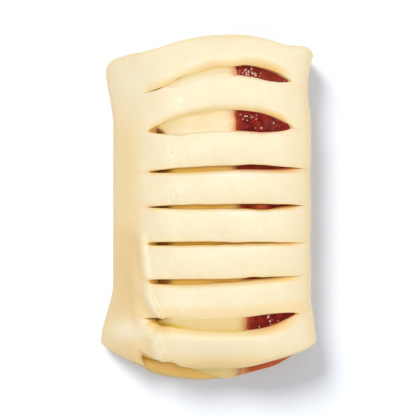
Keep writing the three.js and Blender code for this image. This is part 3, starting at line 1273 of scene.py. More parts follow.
    def strap_grid(self, strap: int, rows: int) -> tuple[Array, Array, dict[str, Array]]:
        """Lays one strap's part of the sheet out as a grid of columns round the section by rows along it.

        Args:
            strap: number of the strap from the far end.
            rows: number of rows.

        Returns:
            Outer points, inner points and the zones of the finish on the outer ones.
        """
        far_place, near_place, share, on_slits = self.columns(strap)
        even = np.linspace(0, 1, rows)
        row = mix(even, (1 - np.cos(math.pi * even)) / 2, self.row_crowding)
        layout = (len(share), rows)
        place = mix(far_place[:, None], near_place[:, None], row[None, :]).ravel()
        share, on_slits = (np.broadcast_to(v[:, None], layout).ravel() for v in (share, on_slits))
        row = np.broadcast_to(row[None, :], layout).ravel()
        y = mix(self.half_length, -self.half_length, (strap + row) / self.straps)
        for _ in range(self.lay_rounds):
            outside = closed_spline(self.controls(y), place)
            y = self.lay(strap, row, share, outside[:, 0], outside[:, 1])
        controls = self.controls(y)
        section = closed_spline(controls, place)
        x, upper = section[:, 0], self.layer_change.at(section[:, 1])
        ahead = closed_spline(controls, place + self.tangent_step)[:, :2]
        along = ahead - closed_spline(controls, place - self.tangent_step)[:, :2]
        along /= np.linalg.norm(along, axis=1)[:, None]
        far, near = self.edges(strap, x, share)
        damp = self.damp(strap, x, y, row) * upper
        relief = self.strap_relief(strap, row, far - near, share, x) + self.surface_relief(x, y, damp)
        lift = upper * relief
        shear = upper * self.near_shear.at(x) * self.shear_run.at(y)
        hang = upper * self.droop(x, y)
        up = section[:, 1] + along[:, 0] * lift - hang
        outer = np.stack([x - along[:, 1] * lift + shear, y - self.shear_fall * shear, up], -1)
        inside_x = section[:, 2] + np.where(on_slits, self.tip_slope(share), 0)
        inside_y = self.lay(strap, row, share, inside_x, section[:, 3])
        inside_y += upper * self.lining_shift(strap, row, share, x)
        hang = self.layer_change.at(section[:, 3]) * self.droop(inside_x, inside_y)
        inner = np.stack([inside_x, inside_y, section[:, 3] - hang], -1)
        zones = self.skin_zones(strap, row, far - near, share, x, y)
        zones = {name: (value * upper).reshape(layout) for name, value in zones.items()}
        zones["damp"] = damp.reshape(layout)
        return outer.reshape(*layout, 3), inner.reshape(*layout, 3), zones

    def skin_zones(
        self, strap: int, row: Array, width: Array, share: Array, x: Array, y: Array
    ) -> dict[str, Array]:
        """Zones of the finish on a strap's skin, apart from how moist it is; most of them paint shade or
        highlights.

        Args:
            strap: number of the strap from the far end.
            row: share of the strap's width, from its far edge.
            width: the strap's width.
            share: share of the slits' length.
            x: places across the pastry.
            y: places along the pastry.

        Returns:
            The zones by name.
        """
        # Golden tones at the soft lips, the flap's edge, the marks and the slit tips paint shade.
        lip = self.soft_edge(strap, row, width, share)
        near_edge_shade = self.near_edge_shade(x, y)
        golden = self.edge_shade * np.maximum(lip * self.wide_gold.at(share), near_edge_shade)
        marked = sum(mark.at(x, y) for mark in self.mark_shades) * (strap == self.straps - 1)
        marked = np.maximum(marked, self.tip_shade(x, y))
        return {
            "painted_shading": self.painted_shading(strap, row, x, y),
            "low": self.low_left_shade(x, y),
            # Painted highlight on the far edges of some straps.
            "painted_highlight": self.strap_highlight[strap] * self.highlight_along.at(row) * self.highlight_across.at(x),
            "cut": np.maximum(lip, near_edge_shade),
            "inside": np.maximum(golden, marked),
        }

    def add_zoned(self, parts: MeshParts, points: Array, **zones: Array | float) -> Array:
        """Adds points with all zones of the finish, nothing for those not given; returns their numbers."""
        return parts.add_points(points, **{name: zones.get(name, 0.0) for name in self.zones})

    def damp(self, strap: int, x: Array, y: Array, row: Array) -> Array:
        """How moist the skin is: most where the straps begin on the left and in the near left corner; the
        material paints glints there.
        """
        across = self.strap_damp[strap] * self.damp_across.at(x)
        return np.maximum(across * self.damp_along.at(row), self.damp_corner.at(x, y))

    def painted_shading(self, strap: int, row: Array, x: Array, y: Array) -> Array:
        """Painted shade as a golden tone: near the near end, low on the left, along the straps' near edges
        and in creases.

        Args:
            strap: number of the strap from the far end.
            row: share of the strap's width, from its far edge.
            x: places across the pastry.
            y: places along the pastry.

        Returns:
            The share of the golden tone, below 0 where a paler tone paints highlights.
        """
        pale = self.far_left_highlight.at(y) + self.near_left_highlight.at(y)
        left = self.margin_side.at(x) * (self.margin_run.at(y) - pale)
        # Painted shade along the straps' near edges, more of it towards the near end.
        edges = self.strap_edge_shade * strap / self.straps * row**self.strap_edge_shade_power
        if self.first_shaded_strap <= strap <= self.folded_strap:
            edges = edges + self.lip_shade * row**self.lip_shade_power
        if strap == self.folded_strap:
            edges = edges + self.fold_shade.at(row)
        edges = edges * self.edge_left.at(x) * self.edge_right.at(x)
        if strap == 0:
            edges = edges - self.far_highlight
        # Painted shade in the valleys of creases and folds, painted highlights on their crests.
        relief = self.mark_relief(x, y)
        folds = self.valley_shade * np.clip(-relief, 0, 1) - self.crest_highlight * np.clip(relief, 0, 1)
        corners = sum(corner.at(x, y) for corner in self.corner_shades)
        return np.clip(self.near_end_shade.at(y) + left + edges + corners + folds, -1, 1)

    def tip_shade(self, x: Array, y: Array) -> Array:
        """Painted shade, as a golden tone, round the left tips of the narrow slits."""
        return sum(
            self.tip_halo.at(x - slit.start) * self.tip_across.at(y - slit.line.at(x))
            for slit in self.slits
            if slit.golden >= self.narrow_golden
        )

    def low_left_shade(self, x: Array, y: Array) -> Array:
        """Painted shade low on the left side, towards the near end."""
        return self.low_side.at(x) * self.low_run.at(y) * (1 - self.low_shade_lift.at(y))

    def near_edge_shade(self, x: Array, y: Array) -> Array:
        """Painted shade, as a golden tone, along the flap's edge at the near end.

        Args:
            x: places across the pastry.
            y: places along the pastry.

        Returns:
            The share of gold, from 0 to 1.
        """
        to_edge = np.clip(y - self.near_end.layers(x)[0], 0, None)
        fall = np.exp(-((to_edge / self.golden_run) ** self.golden_fall))
        return np.clip(self.near_shade_across.at(x) * fall, 0, 1)

    def soft_edge(self, strap: int, row: Array, width: Array, share: Array) -> Array:
        """How near the skin is to a soft lip, where it is more golden: stretched dough, and painted shade
        falling into the slit.

        Args:
            strap: number of the strap from the far end.
            row: share of the strap's width, from its far edge.
            width: the strap's width.
            share: share of the slits' length.

        Returns:
            The nearness, from 0 to 1.
        """
        far_slit, near_slit = self.slits_beside(strap)
        sides = ((far_slit, Lip.NEAR, row * width), (near_slit, Lip.FAR, (1 - row) * width))
        edge = np.zeros_like(row)
        for slit, lip, distance in sides:
            if slit and slit.soft is lip:
                begun = self.lip_begin.at(share) * self.lip_end.at(1 - share)
                fall = mix(*self.lip_fall, self.wide_gold.at(share))
                edge += begun * np.clip(1 - distance / slit.reach(share), 0, 1) ** fall
        return edge

    def surface_relief(self, x: Array, y: Array, damp: Array) -> Array:
        """Unevenness of the skin: soft swells, small lumps, moist beads, creases and finger marks.

        Args:
            x: places across the pastry.
            y: places along the pastry.
            damp: how moist the skin is there.

        Returns:
            The heights.
        """
        relief = self.swell_height * self.swell.at(x, y) + self.lump_height * self.lumps.at(x, y)
        relief += self.bead_height * damp * self.beads.at(x, y)
        return relief + self.mark_relief(x, y)

    def mark_relief(self, x: Array, y: Array) -> Array:
        """Height of the creases, folds and finger marks."""
        return sum(mark.at(x, y) for mark in self.marks)

    def skin_stain(self, strap: int, points: Array, divide: Callable[[Array], Array]) -> Array:
        """How far juice stains the skin beside a slit where much of the cherry filling shows.

        Args:
            strap: number of the strap from the far end.
            points: points of its skin.
            divide: x where custard meets cherry at y.

        Returns:
            The stain.
        """
        if strap - 1 not in self.stained_slits:
            return np.zeros(points.shape[:-1])
        x, y = points[..., 0], points[..., 1]
        slit = self.slits[strap - 1]
        lip = slit.lip_at(Lip.NEAR, x, slit.share(x))
        right = self.stain_side.at(x - divide(y)) * self.stain_stop.at(slit.stop - x)
        return self.stain_share * right * np.exp(-np.clip(lip - y, 0, None) / self.stain_run)

    def wall(
        self,
        parts: MeshParts,
        layers: tuple[Layer, Layer],
        part: tuple[slice, int],
        juice: Array,
        golden: Array,
        soaked: Array,
    ) -> Array:
        """Adds the points of a cut face between a strap's skin and its lining.

        Args:
            parts: the mesh under construction.
            layers: the strap's skin and lining.
            part: columns and row of the cut edge.
            juice: how far each column is stained.
            golden: how much golden painted shade each column gets at its foot.
            soaked: how much dark brown painted shade each column's foot gets.

        Returns:
            Numbers of all points of the face, as columns by rows, from skin to lining.
        """
        rims = [layer.numbers[part][:, None] for layer in layers]
        skin, lining = (layer.points[part][:, None, :] for layer in layers)
        depth = np.linspace(0, 1, self.wall_rows + 2)[1:-1]
        middle = mix(skin, lining, depth[None, :, None])
        depth = depth[None, :]
        golden = golden[:, None]
        made = self.add_zoned(
            parts,
            middle,
            cut=mix(self.wall_cut, 1, golden),
            inside=golden * mix(self.wall_rim_shade, 1, depth**self.wall_shade_power),
            juice=juice[:, None] * mix(self.wall_juice, 1, depth),
            soaked=soaked[:, None] * depth,
        )
        return np.concatenate([rims[0], made, rims[1]], axis=1)

    def cut_shade(self, slit: Slit, x: Array) -> Array:
        """Painted shade on a slit's cut faces at x, as a golden tone: most at the left tip."""
        return np.maximum(slit.golden, slit.tip_shade * self.left_cut.at(x))

    def lay_straps(self, parts: MeshParts, divide: Callable[[Array], Array]) -> list[tuple[Layer, Layer]]:
        """Adds the points of all straps, which share those where no slit parts them.

        Args:
            parts: the mesh under construction.
            divide: x where custard meets cherry at y.

        Returns:
            Skin and lining of every strap, from the far end.
        """
        joined = np.ones(self.slit_columns + self.rest_columns, bool)
        joined[1 : self.slit_columns] = False
        straps = []
        for strap in range(self.straps):
            outside, _, zones = self.strap_grid(strap, self.strap_rows)
            _, inside, _ = self.strap_grid(strap, self.inner_rows)
            stain = self.skin_stain(strap, outside, divide)
            outer = self.add_zoned(parts, outside, juice=stain, **zones)
            # The linings get the deep golden tone, painted shade inside the pastry, less of it towards the
            # near end.
            golden = 1 - self.end_shade_lift.at(inside[..., 1])
            inner = self.add_zoned(parts, inside, cut=1.0, inside=golden)
            if straps:
                for numbers, before in zip((outer, inner), straps[-1]):
                    numbers[joined, 0] = before.numbers[joined, -1]
            straps.append((Layer(outer, outside), Layer(inner, inside)))
        return straps

    def cover(self, parts: MeshParts, layers: tuple[Layer, Layer]) -> None:
        """Adds the faces of one strap's skin and lining.

        Args:
            parts: the mesh under construction.
            layers: the strap's skin and lining.
        """
        outer, inner = (layer.numbers for layer in layers)
        after, inner_after = np.roll(outer, -1, 0), np.roll(inner, -1, 0)
        parts.add_faces(outer[:, :-1], outer[:, 1:], after[:, 1:], after[:, :-1])
        parts.add_faces(inner[:, :-1], inner_after[:, :-1], inner_after[:, 1:], inner[:, 1:])

    def cut_slit(
        self,
        parts: MeshParts,
        number: int,
        straps: list[tuple[Layer, Layer]],
        divide: Callable[[Array], Array],
    ) -> None:
        """Adds the two cut faces of a slit.

        Args:
            parts: the mesh under construction.
            number: number of the slit from the far end.
            straps: skin and lining of every strap.
            divide: x where custard meets cherry at y, right of which juice stains the cuts.
        """
        slit = self.slits[number]
        faces = []
        for layers, row in ((straps[number], -1), (straps[number + 1], 0)):
            part = slice(0, self.slit_columns + 1), row
            x, y = layers[0].points[part][:, 0], layers[0].points[part][:, 1]
            juice = self.juice_side.at(x - divide(y)) * self.juice_stop.at(slit.stop - x)
            juice = juice * (number in self.stained_cuts)
            # Dark brown painted shade deep in the slit's left tip.
            soaked = slit.soaked * self.left_cut.at(x)
            faces.append(self.wall(parts, layers, part, juice, self.cut_shade(slit, x), soaked))
        far, near = faces
        near[[0, -1]] = far[[0, -1]]
        parts.add_faces(far[:-1, :-1], far[:-1, 1:], far[1:, 1:], far[1:, :-1])
        parts.add_faces(near[1:, :-1], near[1:, 1:], near[:-1, 1:], near[:-1, :-1])

    def rim(self, parts: MeshParts, layers: tuple[Layer, Layer], row: int) -> None:
        """Adds the sheet's edge round an open end.

        Args:
            parts: the mesh under construction.
            layers: skin and lining of the strap at that end.
            row: the strap's outermost row, 0 at the far end and -1 at the near one.
        """
        clean = np.zeros(len(layers[0].numbers))
        # The sheet's edges at the ends get the full deep golden tone, painted shade.
        here = self.wall(parts, layers, (slice(None), row), clean, 1 - clean, clean)
        after = np.roll(here, -1, 0)
        if row == 0:
            here, after = after, here
        parts.add_faces(here[:, :-1], here[:, 1:], after[:, 1:], after[:, :-1])

    def build(self, divide: Callable[[Array], Array]) -> bpy.types.Object:
        """Builds the sheet's mesh.

        Args:
            divide: x where custard meets cherry at y, right of which juice stains the cuts.

        Returns:
            The dough piece.
        """
        parts = MeshParts()
        straps = self.lay_straps(parts, divide)
        for layers in straps:
            self.cover(parts, layers)
        for number in range(len(self.slits)):
            self.cut_slit(parts, number, straps, divide)
        self.rim(parts, straps[0], 0)
        self.rim(parts, straps[-1], -1)
        return parts.to_object("danish_dough")

    def dress(self, piece: bpy.types.Object, finish: DoughFinish) -> None:
        """Gives the dough its finish and its place in the frame.

        Args:
            piece: the dough.
            finish: its finish.
        """
        piece.data.materials.append(finish.material())
        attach(piece, "root")
        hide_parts("dough")


@dataclass
class FillingStrand:
    """A soft bar of filling from end to end of the pastry, sizes in millimetres."""

    dough: DoughSheet
    # Line where custard meets cherry.
    divide_far: float = 9.4
    divide_shift: Ramp = Ramp(3.7, 18.0, -20.0)
    divide_return: Ramp = Ramp(-1.8, -42.0, -56.0)
    waver: Ripple = Ripple(31, 2.5, 7.0, 8)
    waver_reach: float = 0.3
    # Section and ends of the bar.
    floor: float = 4.6
    slack: float = 0.4
    far_recess: float = 3.6
    corner: float = 5.0
    seam_corner: float = 40.0
    stub: float = 0.05
    toe: float = 12.0
    toe_start: float = -0.5
    overlap: float = 0.3
    # Swelling in the slits.
    swell_edge: float = 2.4
    swell_power: int = 8
    swell_share: float = 1.0
    swell_stop: Ramp = Ramp(1.0, 0.2, 2.4)
    meniscus_run: Ramp = Ramp(1.0, 0.6, 1.3)
    least_half: float = 0.2
    # Grid of the mesh.
    top_points: int = 72
    foot_points: int = 20
    steps: int = 260

    def divide(self, y: Array) -> Array:
        """x where custard meets cherry at y."""
        bent = self.divide_far + self.divide_shift.at(y) + self.divide_return.at(y)
        return bent + self.waver_reach * self.waver.at(0.0, y)

    def left(self, y: Array) -> Array:
        """x of the strand's left side at y."""
        raise NotImplementedError

    def right(self, y: Array) -> Array:
        """x of the strand's right side at y."""
        raise NotImplementedError

    def spill(self, x: Array) -> Array:
        """How far the strand reaches out over the lower layer's near edge at x."""
        raise NotImplementedError

    def relief(self, x: Array, y: Array) -> Array:
        """Unevenness of the strand's upper side."""
        raise NotImplementedError

    def swell(self, slit: Slit, x: Array, y: Array) -> Array:
        """Where a slit leaves the filling free.

        Args:
            slit: the slit.
            x: places across the pastry.
            y: places along the pastry.

        Returns:
            How free it is, from 0 to 1.
        """
        reach = self.free_half(slit, x) + self.swell_edge
        free = np.exp(-(((y - slit.line.at(x)) / reach) ** self.swell_power))
        return free * slit.custard_start.at(self.from_front(slit, x, y)) * self.swell_stop.at(slit.stop - x)

    def free_half(self, slit: Slit, x: Array) -> Array:
        """Half a slit's opening at x, never quite shut."""
        return np.maximum(slit.half_gap(slit.share(x)), self.least_half)

    def from_front(self, slit: Slit, x: Array, y: Array) -> Array:
        """Place along a slit as its slanting left front sees it, further on towards the soft lip."""
        return x + slit.front_shift + slit.front_slant * np.clip(self.to_soft_lip(slit, x, y), -1, 1)

    def to_soft_lip(self, slit: Slit, x: Array, y: Array) -> Array:
        """Place across a slit, from -1 at its sharp lip to 1 at its soft one."""
        return slit.soft.value * (y - slit.line.at(x)) / self.free_half(slit, x)

    def rise_in_slits(self, x: Array, y: Array) -> Array:
        """How far the filling swells up where slits leave it free, higher towards their sharp lips.

        Args:
            x: places across the pastry.
            y: places along the pastry.

        Returns:
            The rise.
        """
        total = np.zeros_like(x)
        for slit in self.dough.slits:
            to_soft = self.to_soft_lip(slit, x, y)
            level = slit.fill * (1 - slit.tilt * np.clip(to_soft, -1, 1))
            total += (level + slit.meniscus * self.meniscus_run.at(to_soft)) * self.swell(slit, x, y)
        return self.swell_share * total

    def ring(self, seam: float) -> tuple[Array, Array]:
        """Outline of the strand across, between -1 and 1 both ways, squarer on the side of the seam.

        Args:
            seam: 1 where the other filling is on the right, -1 where it is on the left.

        Returns:
            Places across and up, anticlockwise from the right.
        """
        over = np.cos(np.linspace(0, math.pi, self.top_points))
        under = -np.cos(np.linspace(0, math.pi, self.foot_points))[1:-1]
        across = np.concatenate([over, under])
        power = np.where(across * seam > 0, self.seam_corner, self.corner)
        up = (1 - np.abs(across) ** power).clip(0) ** (1 / power)
        up[len(over) :] *= -1
        return across, up

    def points(self, seam: float) -> Array:
        """Points of the strand as rings from the far to the near end.

        Args:
            seam: side on which the other filling is.

        Returns:
            The points, as rings by points by coordinates.
        """
        along = (1 - np.cos(np.linspace(0, math.pi, self.steps)))[:, None] / 2
        across, up = self.ring(seam)

        def lay(x: Array) -> Array:
            """y of the rings at x."""
            far = self.dough.far_end.layers(x)[0] - self.far_recess
            return mix(far, self.dough.near_end.layers(x)[1] - self.spill(x), along)

        middle = lay(np.full((1, 1), (self.left(0.0) + self.right(0.0)) / 2))
        half_width = (self.right(middle) - self.left(middle)) / 2
        x = (self.left(middle) + self.right(middle)) / 2 + half_width * across[None, :]
        y = lay(x)
        half = (self.dough.roof(y) - self.dough.droop(x, y) - self.slack - self.floor) / 2
        to_end = np.minimum(along, 1 - along) * 2 * self.dough.half_length
        rounded = mix(self.stub, 1, Ramp(1.0, self.toe_start * self.toe, self.toe).at(to_end))
        lift = np.maximum(0, up)[None, :] * (self.relief(x, y) + self.rise_in_slits(x, y))
        z = self.floor + (half * (1 + up[None, :]) + lift) * rounded
        return np.stack([x, y, z], -1)

    def close(self, parts: MeshParts, numbers: Array) -> None:
        """Joins the rings of a strand and shuts its two ends.

        Args:
            parts: the mesh under construction.
            numbers: numbers of the points, as rings by points.
        """
        after = np.roll(numbers, -1, 1)
        parts.add_faces(numbers[:-1], after[:-1], after[1:], numbers[1:])
        for ring, turned in ((numbers[0], True), (numbers[-1], False)):
            parts.caps.append(ring[::-1] if turned else ring)

    def dress(self, piece: bpy.types.Object, node: str, material: bpy.types.Material) -> None:
        """Gives the strand its finish and its place in the frame.

        Args:
            piece: the strand.
            node: the node it replaces.
            material: its material.
        """
        piece.data.materials.append(material)
        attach(piece, "root")
        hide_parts(node)


@dataclass
class CustardStrand(FillingStrand):
    """The custard on the left of the filling."""

    # Form.
    left_side: float = -20.4
    corner: float = 3.0
    toe: float = 6.0
    steps: int = 340
    swell_edge: float = 3.4
    near_spread: Ramp = Ramp(3.0, 0.75, 0.98)
    spill_run: Ramp = Ramp(6.0, -13.0, 10.0)
    ripple: Ripple = Ripple(21, 5.0, 14.0)
    ripple_height: float = 0.18
    # Tones: painted shade, golden and deep brown, in the slits, holes, crease and ends.
    deep_pale: float = -15.2
    deep_golden: float = -10.0
    pale_run: float = 1.8
    golden_run: float = 4.4
    crease_run: Ramp = Ramp(1.0, -6.0, -13.0)
    crease_shade: Ramp = Ramp(1.0, -10.5, -16.0)
    crease_least: float = 0.5
    deep_inside: Ramp = Ramp(1.0, 49.0, 45.0)
    deep_side: Ramp = Ramp(1.0, -8.0, -14.0)
    bleed: float = 2.2
    to_soft: Ramp = Ramp(1.0, -0.3, 1.1)
    start_shade: Ramp = Ramp(0.8, -10.5, -15.0)
    pale_start: float = 0.45
    end_shade: Ramp = Ramp(0.35, 46.0, 54.0)

    def left(self, y: Array) -> Array:
        """x of the left side, further out at the near end."""
        return self.left_side - self.near_spread.at(-y / self.dough.half_length)

    def right(self, y: Array) -> Array:
        """x of the side that meets the cherry."""
        return self.divide(y) + self.overlap

    def spill(self, x: Array) -> Array:
        """Behind the edge on the left, a little over it on the right."""
        return self.spill_run.at(x) - self.spill_run.by

    def relief(self, x: Array, y: Array) -> Array:
        """Soft waves."""
        return self.ripple_height * self.ripple.at(x, y)

    def build(self) -> bpy.types.Object:
        """Builds the custard, which knows where juice bleeds into it and where its painted shade goes.

        Returns:
            The custard piece.
        """
        points = self.points(1.0)
        parts = MeshParts()
        to_cherry = self.divide(points[..., 1]) - points[..., 0]
        x, y = points[..., 0], points[..., 1]
        # Golden painted shade at the ends.
        golden = 1 - self.end_shade.at(np.abs(y))
        deep = np.ones_like(x)
        # Painted shade in each slit: golden towards the recessed lip, deep brown in the hole at the left
        # end and in the crease.
        for slit in self.dough.slits:
            here = self.swell(slit, x, y)
            begin = mix(self.deep_pale, self.deep_golden, slit.golden)
            to_soft = self.to_soft.at(self.to_soft_lip(slit, x, y))
            soft_shade = slit.soft_shade + slit.crease * self.crease_run.at(x)
            start_gold = mix(self.pale_start, 1, slit.golden) * self.start_shade.at(x)
            tone = np.maximum(slit.golden + soft_shade * to_soft, start_gold)
            golden = mix(golden, tone, here)
            run = mix(self.pale_run, self.golden_run, slit.golden)
            front = Ramp(slit.deep_share, begin, begin - run).at(self.from_front(slit, x, y))
            crease = slit.crease * self.crease_shade.at(x) * mix(self.crease_least, 1, to_soft)
            deep = mix(deep, np.maximum(front, crease), here)
        bleed = np.exp(-np.maximum(0, to_cherry) / self.bleed)
        deep = deep * self.deep_side.at(x) * self.deep_inside.at(np.abs(y))
        numbers = parts.add_points(points, bleed=bleed, golden=golden, deep=deep)
        self.close(parts, numbers)
        return parts.to_object("danish_custard")


@dataclass
class CherryStrand(FillingStrand):
    """The cherry filling on the right, with pieces of fruit standing out of it."""

    # Form.
    right_side: float = 31.5
    corner: float = 7.0
    swell_share: float = 0.88
    swell_edge: float = 1.4
    ripple: Ripple = Ripple(22, 1.8, 5.0, 24)
    ripple_height: float = 0.12
    sink: float = 0.4
    spill_side: Ramp = Ramp(0.3, 10.0, 14.0)
    spill_right: Bump = Bump(23.5, 4.0, 0.6)
    # Thin, faded and frothy places.
    thin_end: Ramp = Ramp(1.0, -5.0, 1.0)
    thin_seam: float = 0.8
    thin_seam_run: float = 0.8
    thin_patch: Dimple = Dimple(18.0, 0.0, math.sqrt(5.0), -0.6)
    thin_far: Ramp = Ramp(0.15, 40.0, 44.0)
    thin_strap: Bump = Bump(13.0, 2.5, 0.14)
    fade_seam: Ramp = Ramp(1.0, 4.0, 0.0)
    fade_end: Ramp = Ramp(1.0, -50.0, -54.0)
    froth_start: Ramp = Ramp(1.0, -52.0, -46.0)
    froth_least: float = 0.05
    froth_patches: tuple[Dimple, ...] = (
        Dimple(20.0, -39.5, 3.0, -0.25),
        Dimple(14.2, 45.5, 3.0, -1.2),
        Dimple(13.5, 31.0, 2.24, -0.6),
    )
    # Pieces of fruit.
    fruit_seed: int = 5
    fruit_pitch: float = 6.5
    fruit_reach: float = 52.0
    fruit_across: tuple[float, float] = (13.0, 26.0)
    fruit_shift: float = 2.0
    fruit_radius: tuple[float, float] = (3.4, 5.0)
    fruit_height: tuple[float, float] = (0.5, 1.1)
    large_fruit: Dimple = Dimple(19.7, -0.2, 3.2, -1.2)

    def left(self, y: Array) -> Array:
        """x of the side that meets the custard."""
        return self.divide(y) - self.overlap

    def right(self, y: Array) -> Array:
        """x of the right side."""
        return self.right_side + 0 * y

    def spill(self, x: Array) -> Array:
        """A little over the edge, most on the right."""
        return self.spill_side.at(x) + self.spill_right.at(x)

    def fruit(self) -> list[Dimple]:
        """Pieces of fruit that swell out of the filling, one after another along it.

        Returns:
            The pieces.
        """
        draw = np.random.default_rng(self.fruit_seed)
        drawn = [
            Dimple(
                draw.uniform(*self.fruit_across),
                y + draw.uniform(-self.fruit_shift, self.fruit_shift),
                draw.uniform(*self.fruit_radius),
                -draw.uniform(*self.fruit_height),
            )
            for y in np.arange(-self.fruit_reach, self.fruit_reach, self.fruit_pitch)
        ]
        return [*drawn, self.large_fruit]

    def relief(self, x: Array, y: Array) -> Array:
        """Fruit and small lumps."""
        lumps = self.ripple_height * self.ripple.at(x, y)
        return lumps - self.sink + sum(piece.at(x, y) for piece in self.fruit())

    def build(self) -> bpy.types.Object:
        """Builds the cherry filling, which knows where it is thin and where it is frothy.

        Returns:
            The cherry piece.
        """
        points = self.points(-1.0)
        parts = MeshParts()
        x, y = points[..., 0], points[..., 1]
        from_seam = x - self.divide(y)
        thin = self.thin_end.at(self.dough.near_end.layers(x)[1] - y)
        thin = np.maximum(thin, self.thin_seam * np.exp(-np.maximum(0, from_seam) / self.thin_seam_run))
        for place in (self.thin_patch.at(x, y), self.thin_far.at(y), self.thin_strap.at(y)):
            thin = np.maximum(thin, place)
        froth = self.froth_least + sum(patch.at(x, y) for patch in self.froth_patches)
        froth = froth * self.froth_start.at(y)
        fade = self.fade_seam.at(from_seam) * self.fade_end.at(y)
        numbers = parts.add_points(points, thin=thin, fade=fade, froth=froth)
        self.close(parts, numbers)
        return parts.to_object("danish_cherry")


@dataclass
class SyrupBubbles:
    """Small bubbles of syrup scattered over the cherry filling."""

    per_square_metre: float = 1300000.0
    radius: float = 0.48
    least_size: float = 0.35
    full_size: float = 1.0
    ball_rounds: int = 2
    seed: int = 7

    def tree(self, material: bpy.types.Material) -> bpy.types.NodeTree:
        """Makes the scattering tree with named inputs.

        Args:
            material: finish of the bubbles.

        Returns:
            The tree.
        """
        tree = bpy.data.node_groups.new("syrup_bubbles", "GeometryNodeTree")
        face = tree.interface
        face.new_socket("Geometry", in_out="INPUT", socket_type="NodeSocketGeometry")
        numbers = {"Density": "NodeSocketFloat", "Radius": "NodeSocketFloat", "Seed": "NodeSocketInt"}
        for name, kind in numbers.items():
            face.new_socket(name, in_out="INPUT", socket_type=kind)
        face.new_socket("Geometry", in_out="OUTPUT", socket_type="NodeSocketGeometry")
        nodes, links = tree.nodes, tree.links
        into, out = nodes.new("NodeGroupInput"), nodes.new("NodeGroupOutput")
        scatter = nodes.new("GeometryNodeDistributePointsOnFaces")
        ball = nodes.new("GeometryNodeMeshIcoSphere")
        place = nodes.new("GeometryNodeInstanceOnPoints")
        size = nodes.new("FunctionNodeRandomValue")
        realize = nodes.new("GeometryNodeRealizeInstances")
        dress = nodes.new("GeometryNodeSetMaterial")
        smooth = nodes.new("GeometryNodeSetShadeSmooth")
        froth = nodes.new("GeometryNodeInputNamedAttribute")
        thinned = nodes.new("ShaderNodeMath")
        thinned.operation = "MULTIPLY"
        froth.inputs["Name"].default_value = "froth"
        ball.inputs["Subdivisions"].default_value = self.ball_rounds
        size.inputs["Min"].default_value = self.least_size
        size.inputs["Max"].default_value = self.full_size
        dress.inputs["Material"].default_value = material
        joins = (
            (into.outputs["Geometry"], scatter.inputs["Mesh"]),
            (into.outputs["Density"], thinned.inputs[0]),
            (froth.outputs["Attribute"], thinned.inputs[1]),
            (thinned.outputs[0], scatter.inputs["Density"]),
            (into.outputs["Seed"], scatter.inputs["Seed"]),
            (into.outputs["Seed"], size.inputs["Seed"]),
            (into.outputs["Radius"], ball.inputs["Radius"]),
            (scatter.outputs["Points"], place.inputs["Points"]),
            (ball.outputs["Mesh"], place.inputs["Instance"]),
            (size.outputs["Value"], place.inputs["Scale"]),
            (place.outputs["Instances"], realize.inputs["Geometry"]),
            (realize.outputs["Geometry"], smooth.inputs["Geometry"]),
            (smooth.outputs["Geometry"], dress.inputs["Geometry"]),
            (dress.outputs["Geometry"], out.inputs["Geometry"]),
        )
        for start, stop in joins:
            links.new(start, stop)
        return tree

    def build(self, cherry: bpy.types.Object, finish: SyrupFinish) -> bpy.types.Object:
        """Scatters the bubbles over the cherry strand.

        Args:
            cherry: the strand that carries them.
            finish: their finish.

        Returns:
            The bubbles as one plain mesh piece.
        """
        carrier = bpy.data.objects.new("bubble_carrier", cherry.data)
        bpy.context.scene.collection.objects.link(carrier)
        tree = self.tree(finish.material())
        modifier = carrier.modifiers.new("bubbles", "NODES")
        modifier.node_group = tree
        wanted = {"Density": self.per_square_metre, "Radius": self.radius * MM, "Seed": self.seed}
        for item in tree.interface.items_tree:
            if item.in_out == "INPUT" and item.name in wanted:
                modifier[item.identifier] = wanted[item.name]
        graph = bpy.context.evaluated_depsgraph_get()
        mesh = bpy.data.meshes.new_from_object(carrier.evaluated_get(graph))
        bpy.data.objects.remove(carrier)
        piece = bpy.data.objects.new("danish_syrup_bubbles", mesh)
        bpy.context.scene.collection.objects.link(piece)
        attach(piece, "root")
        return piece


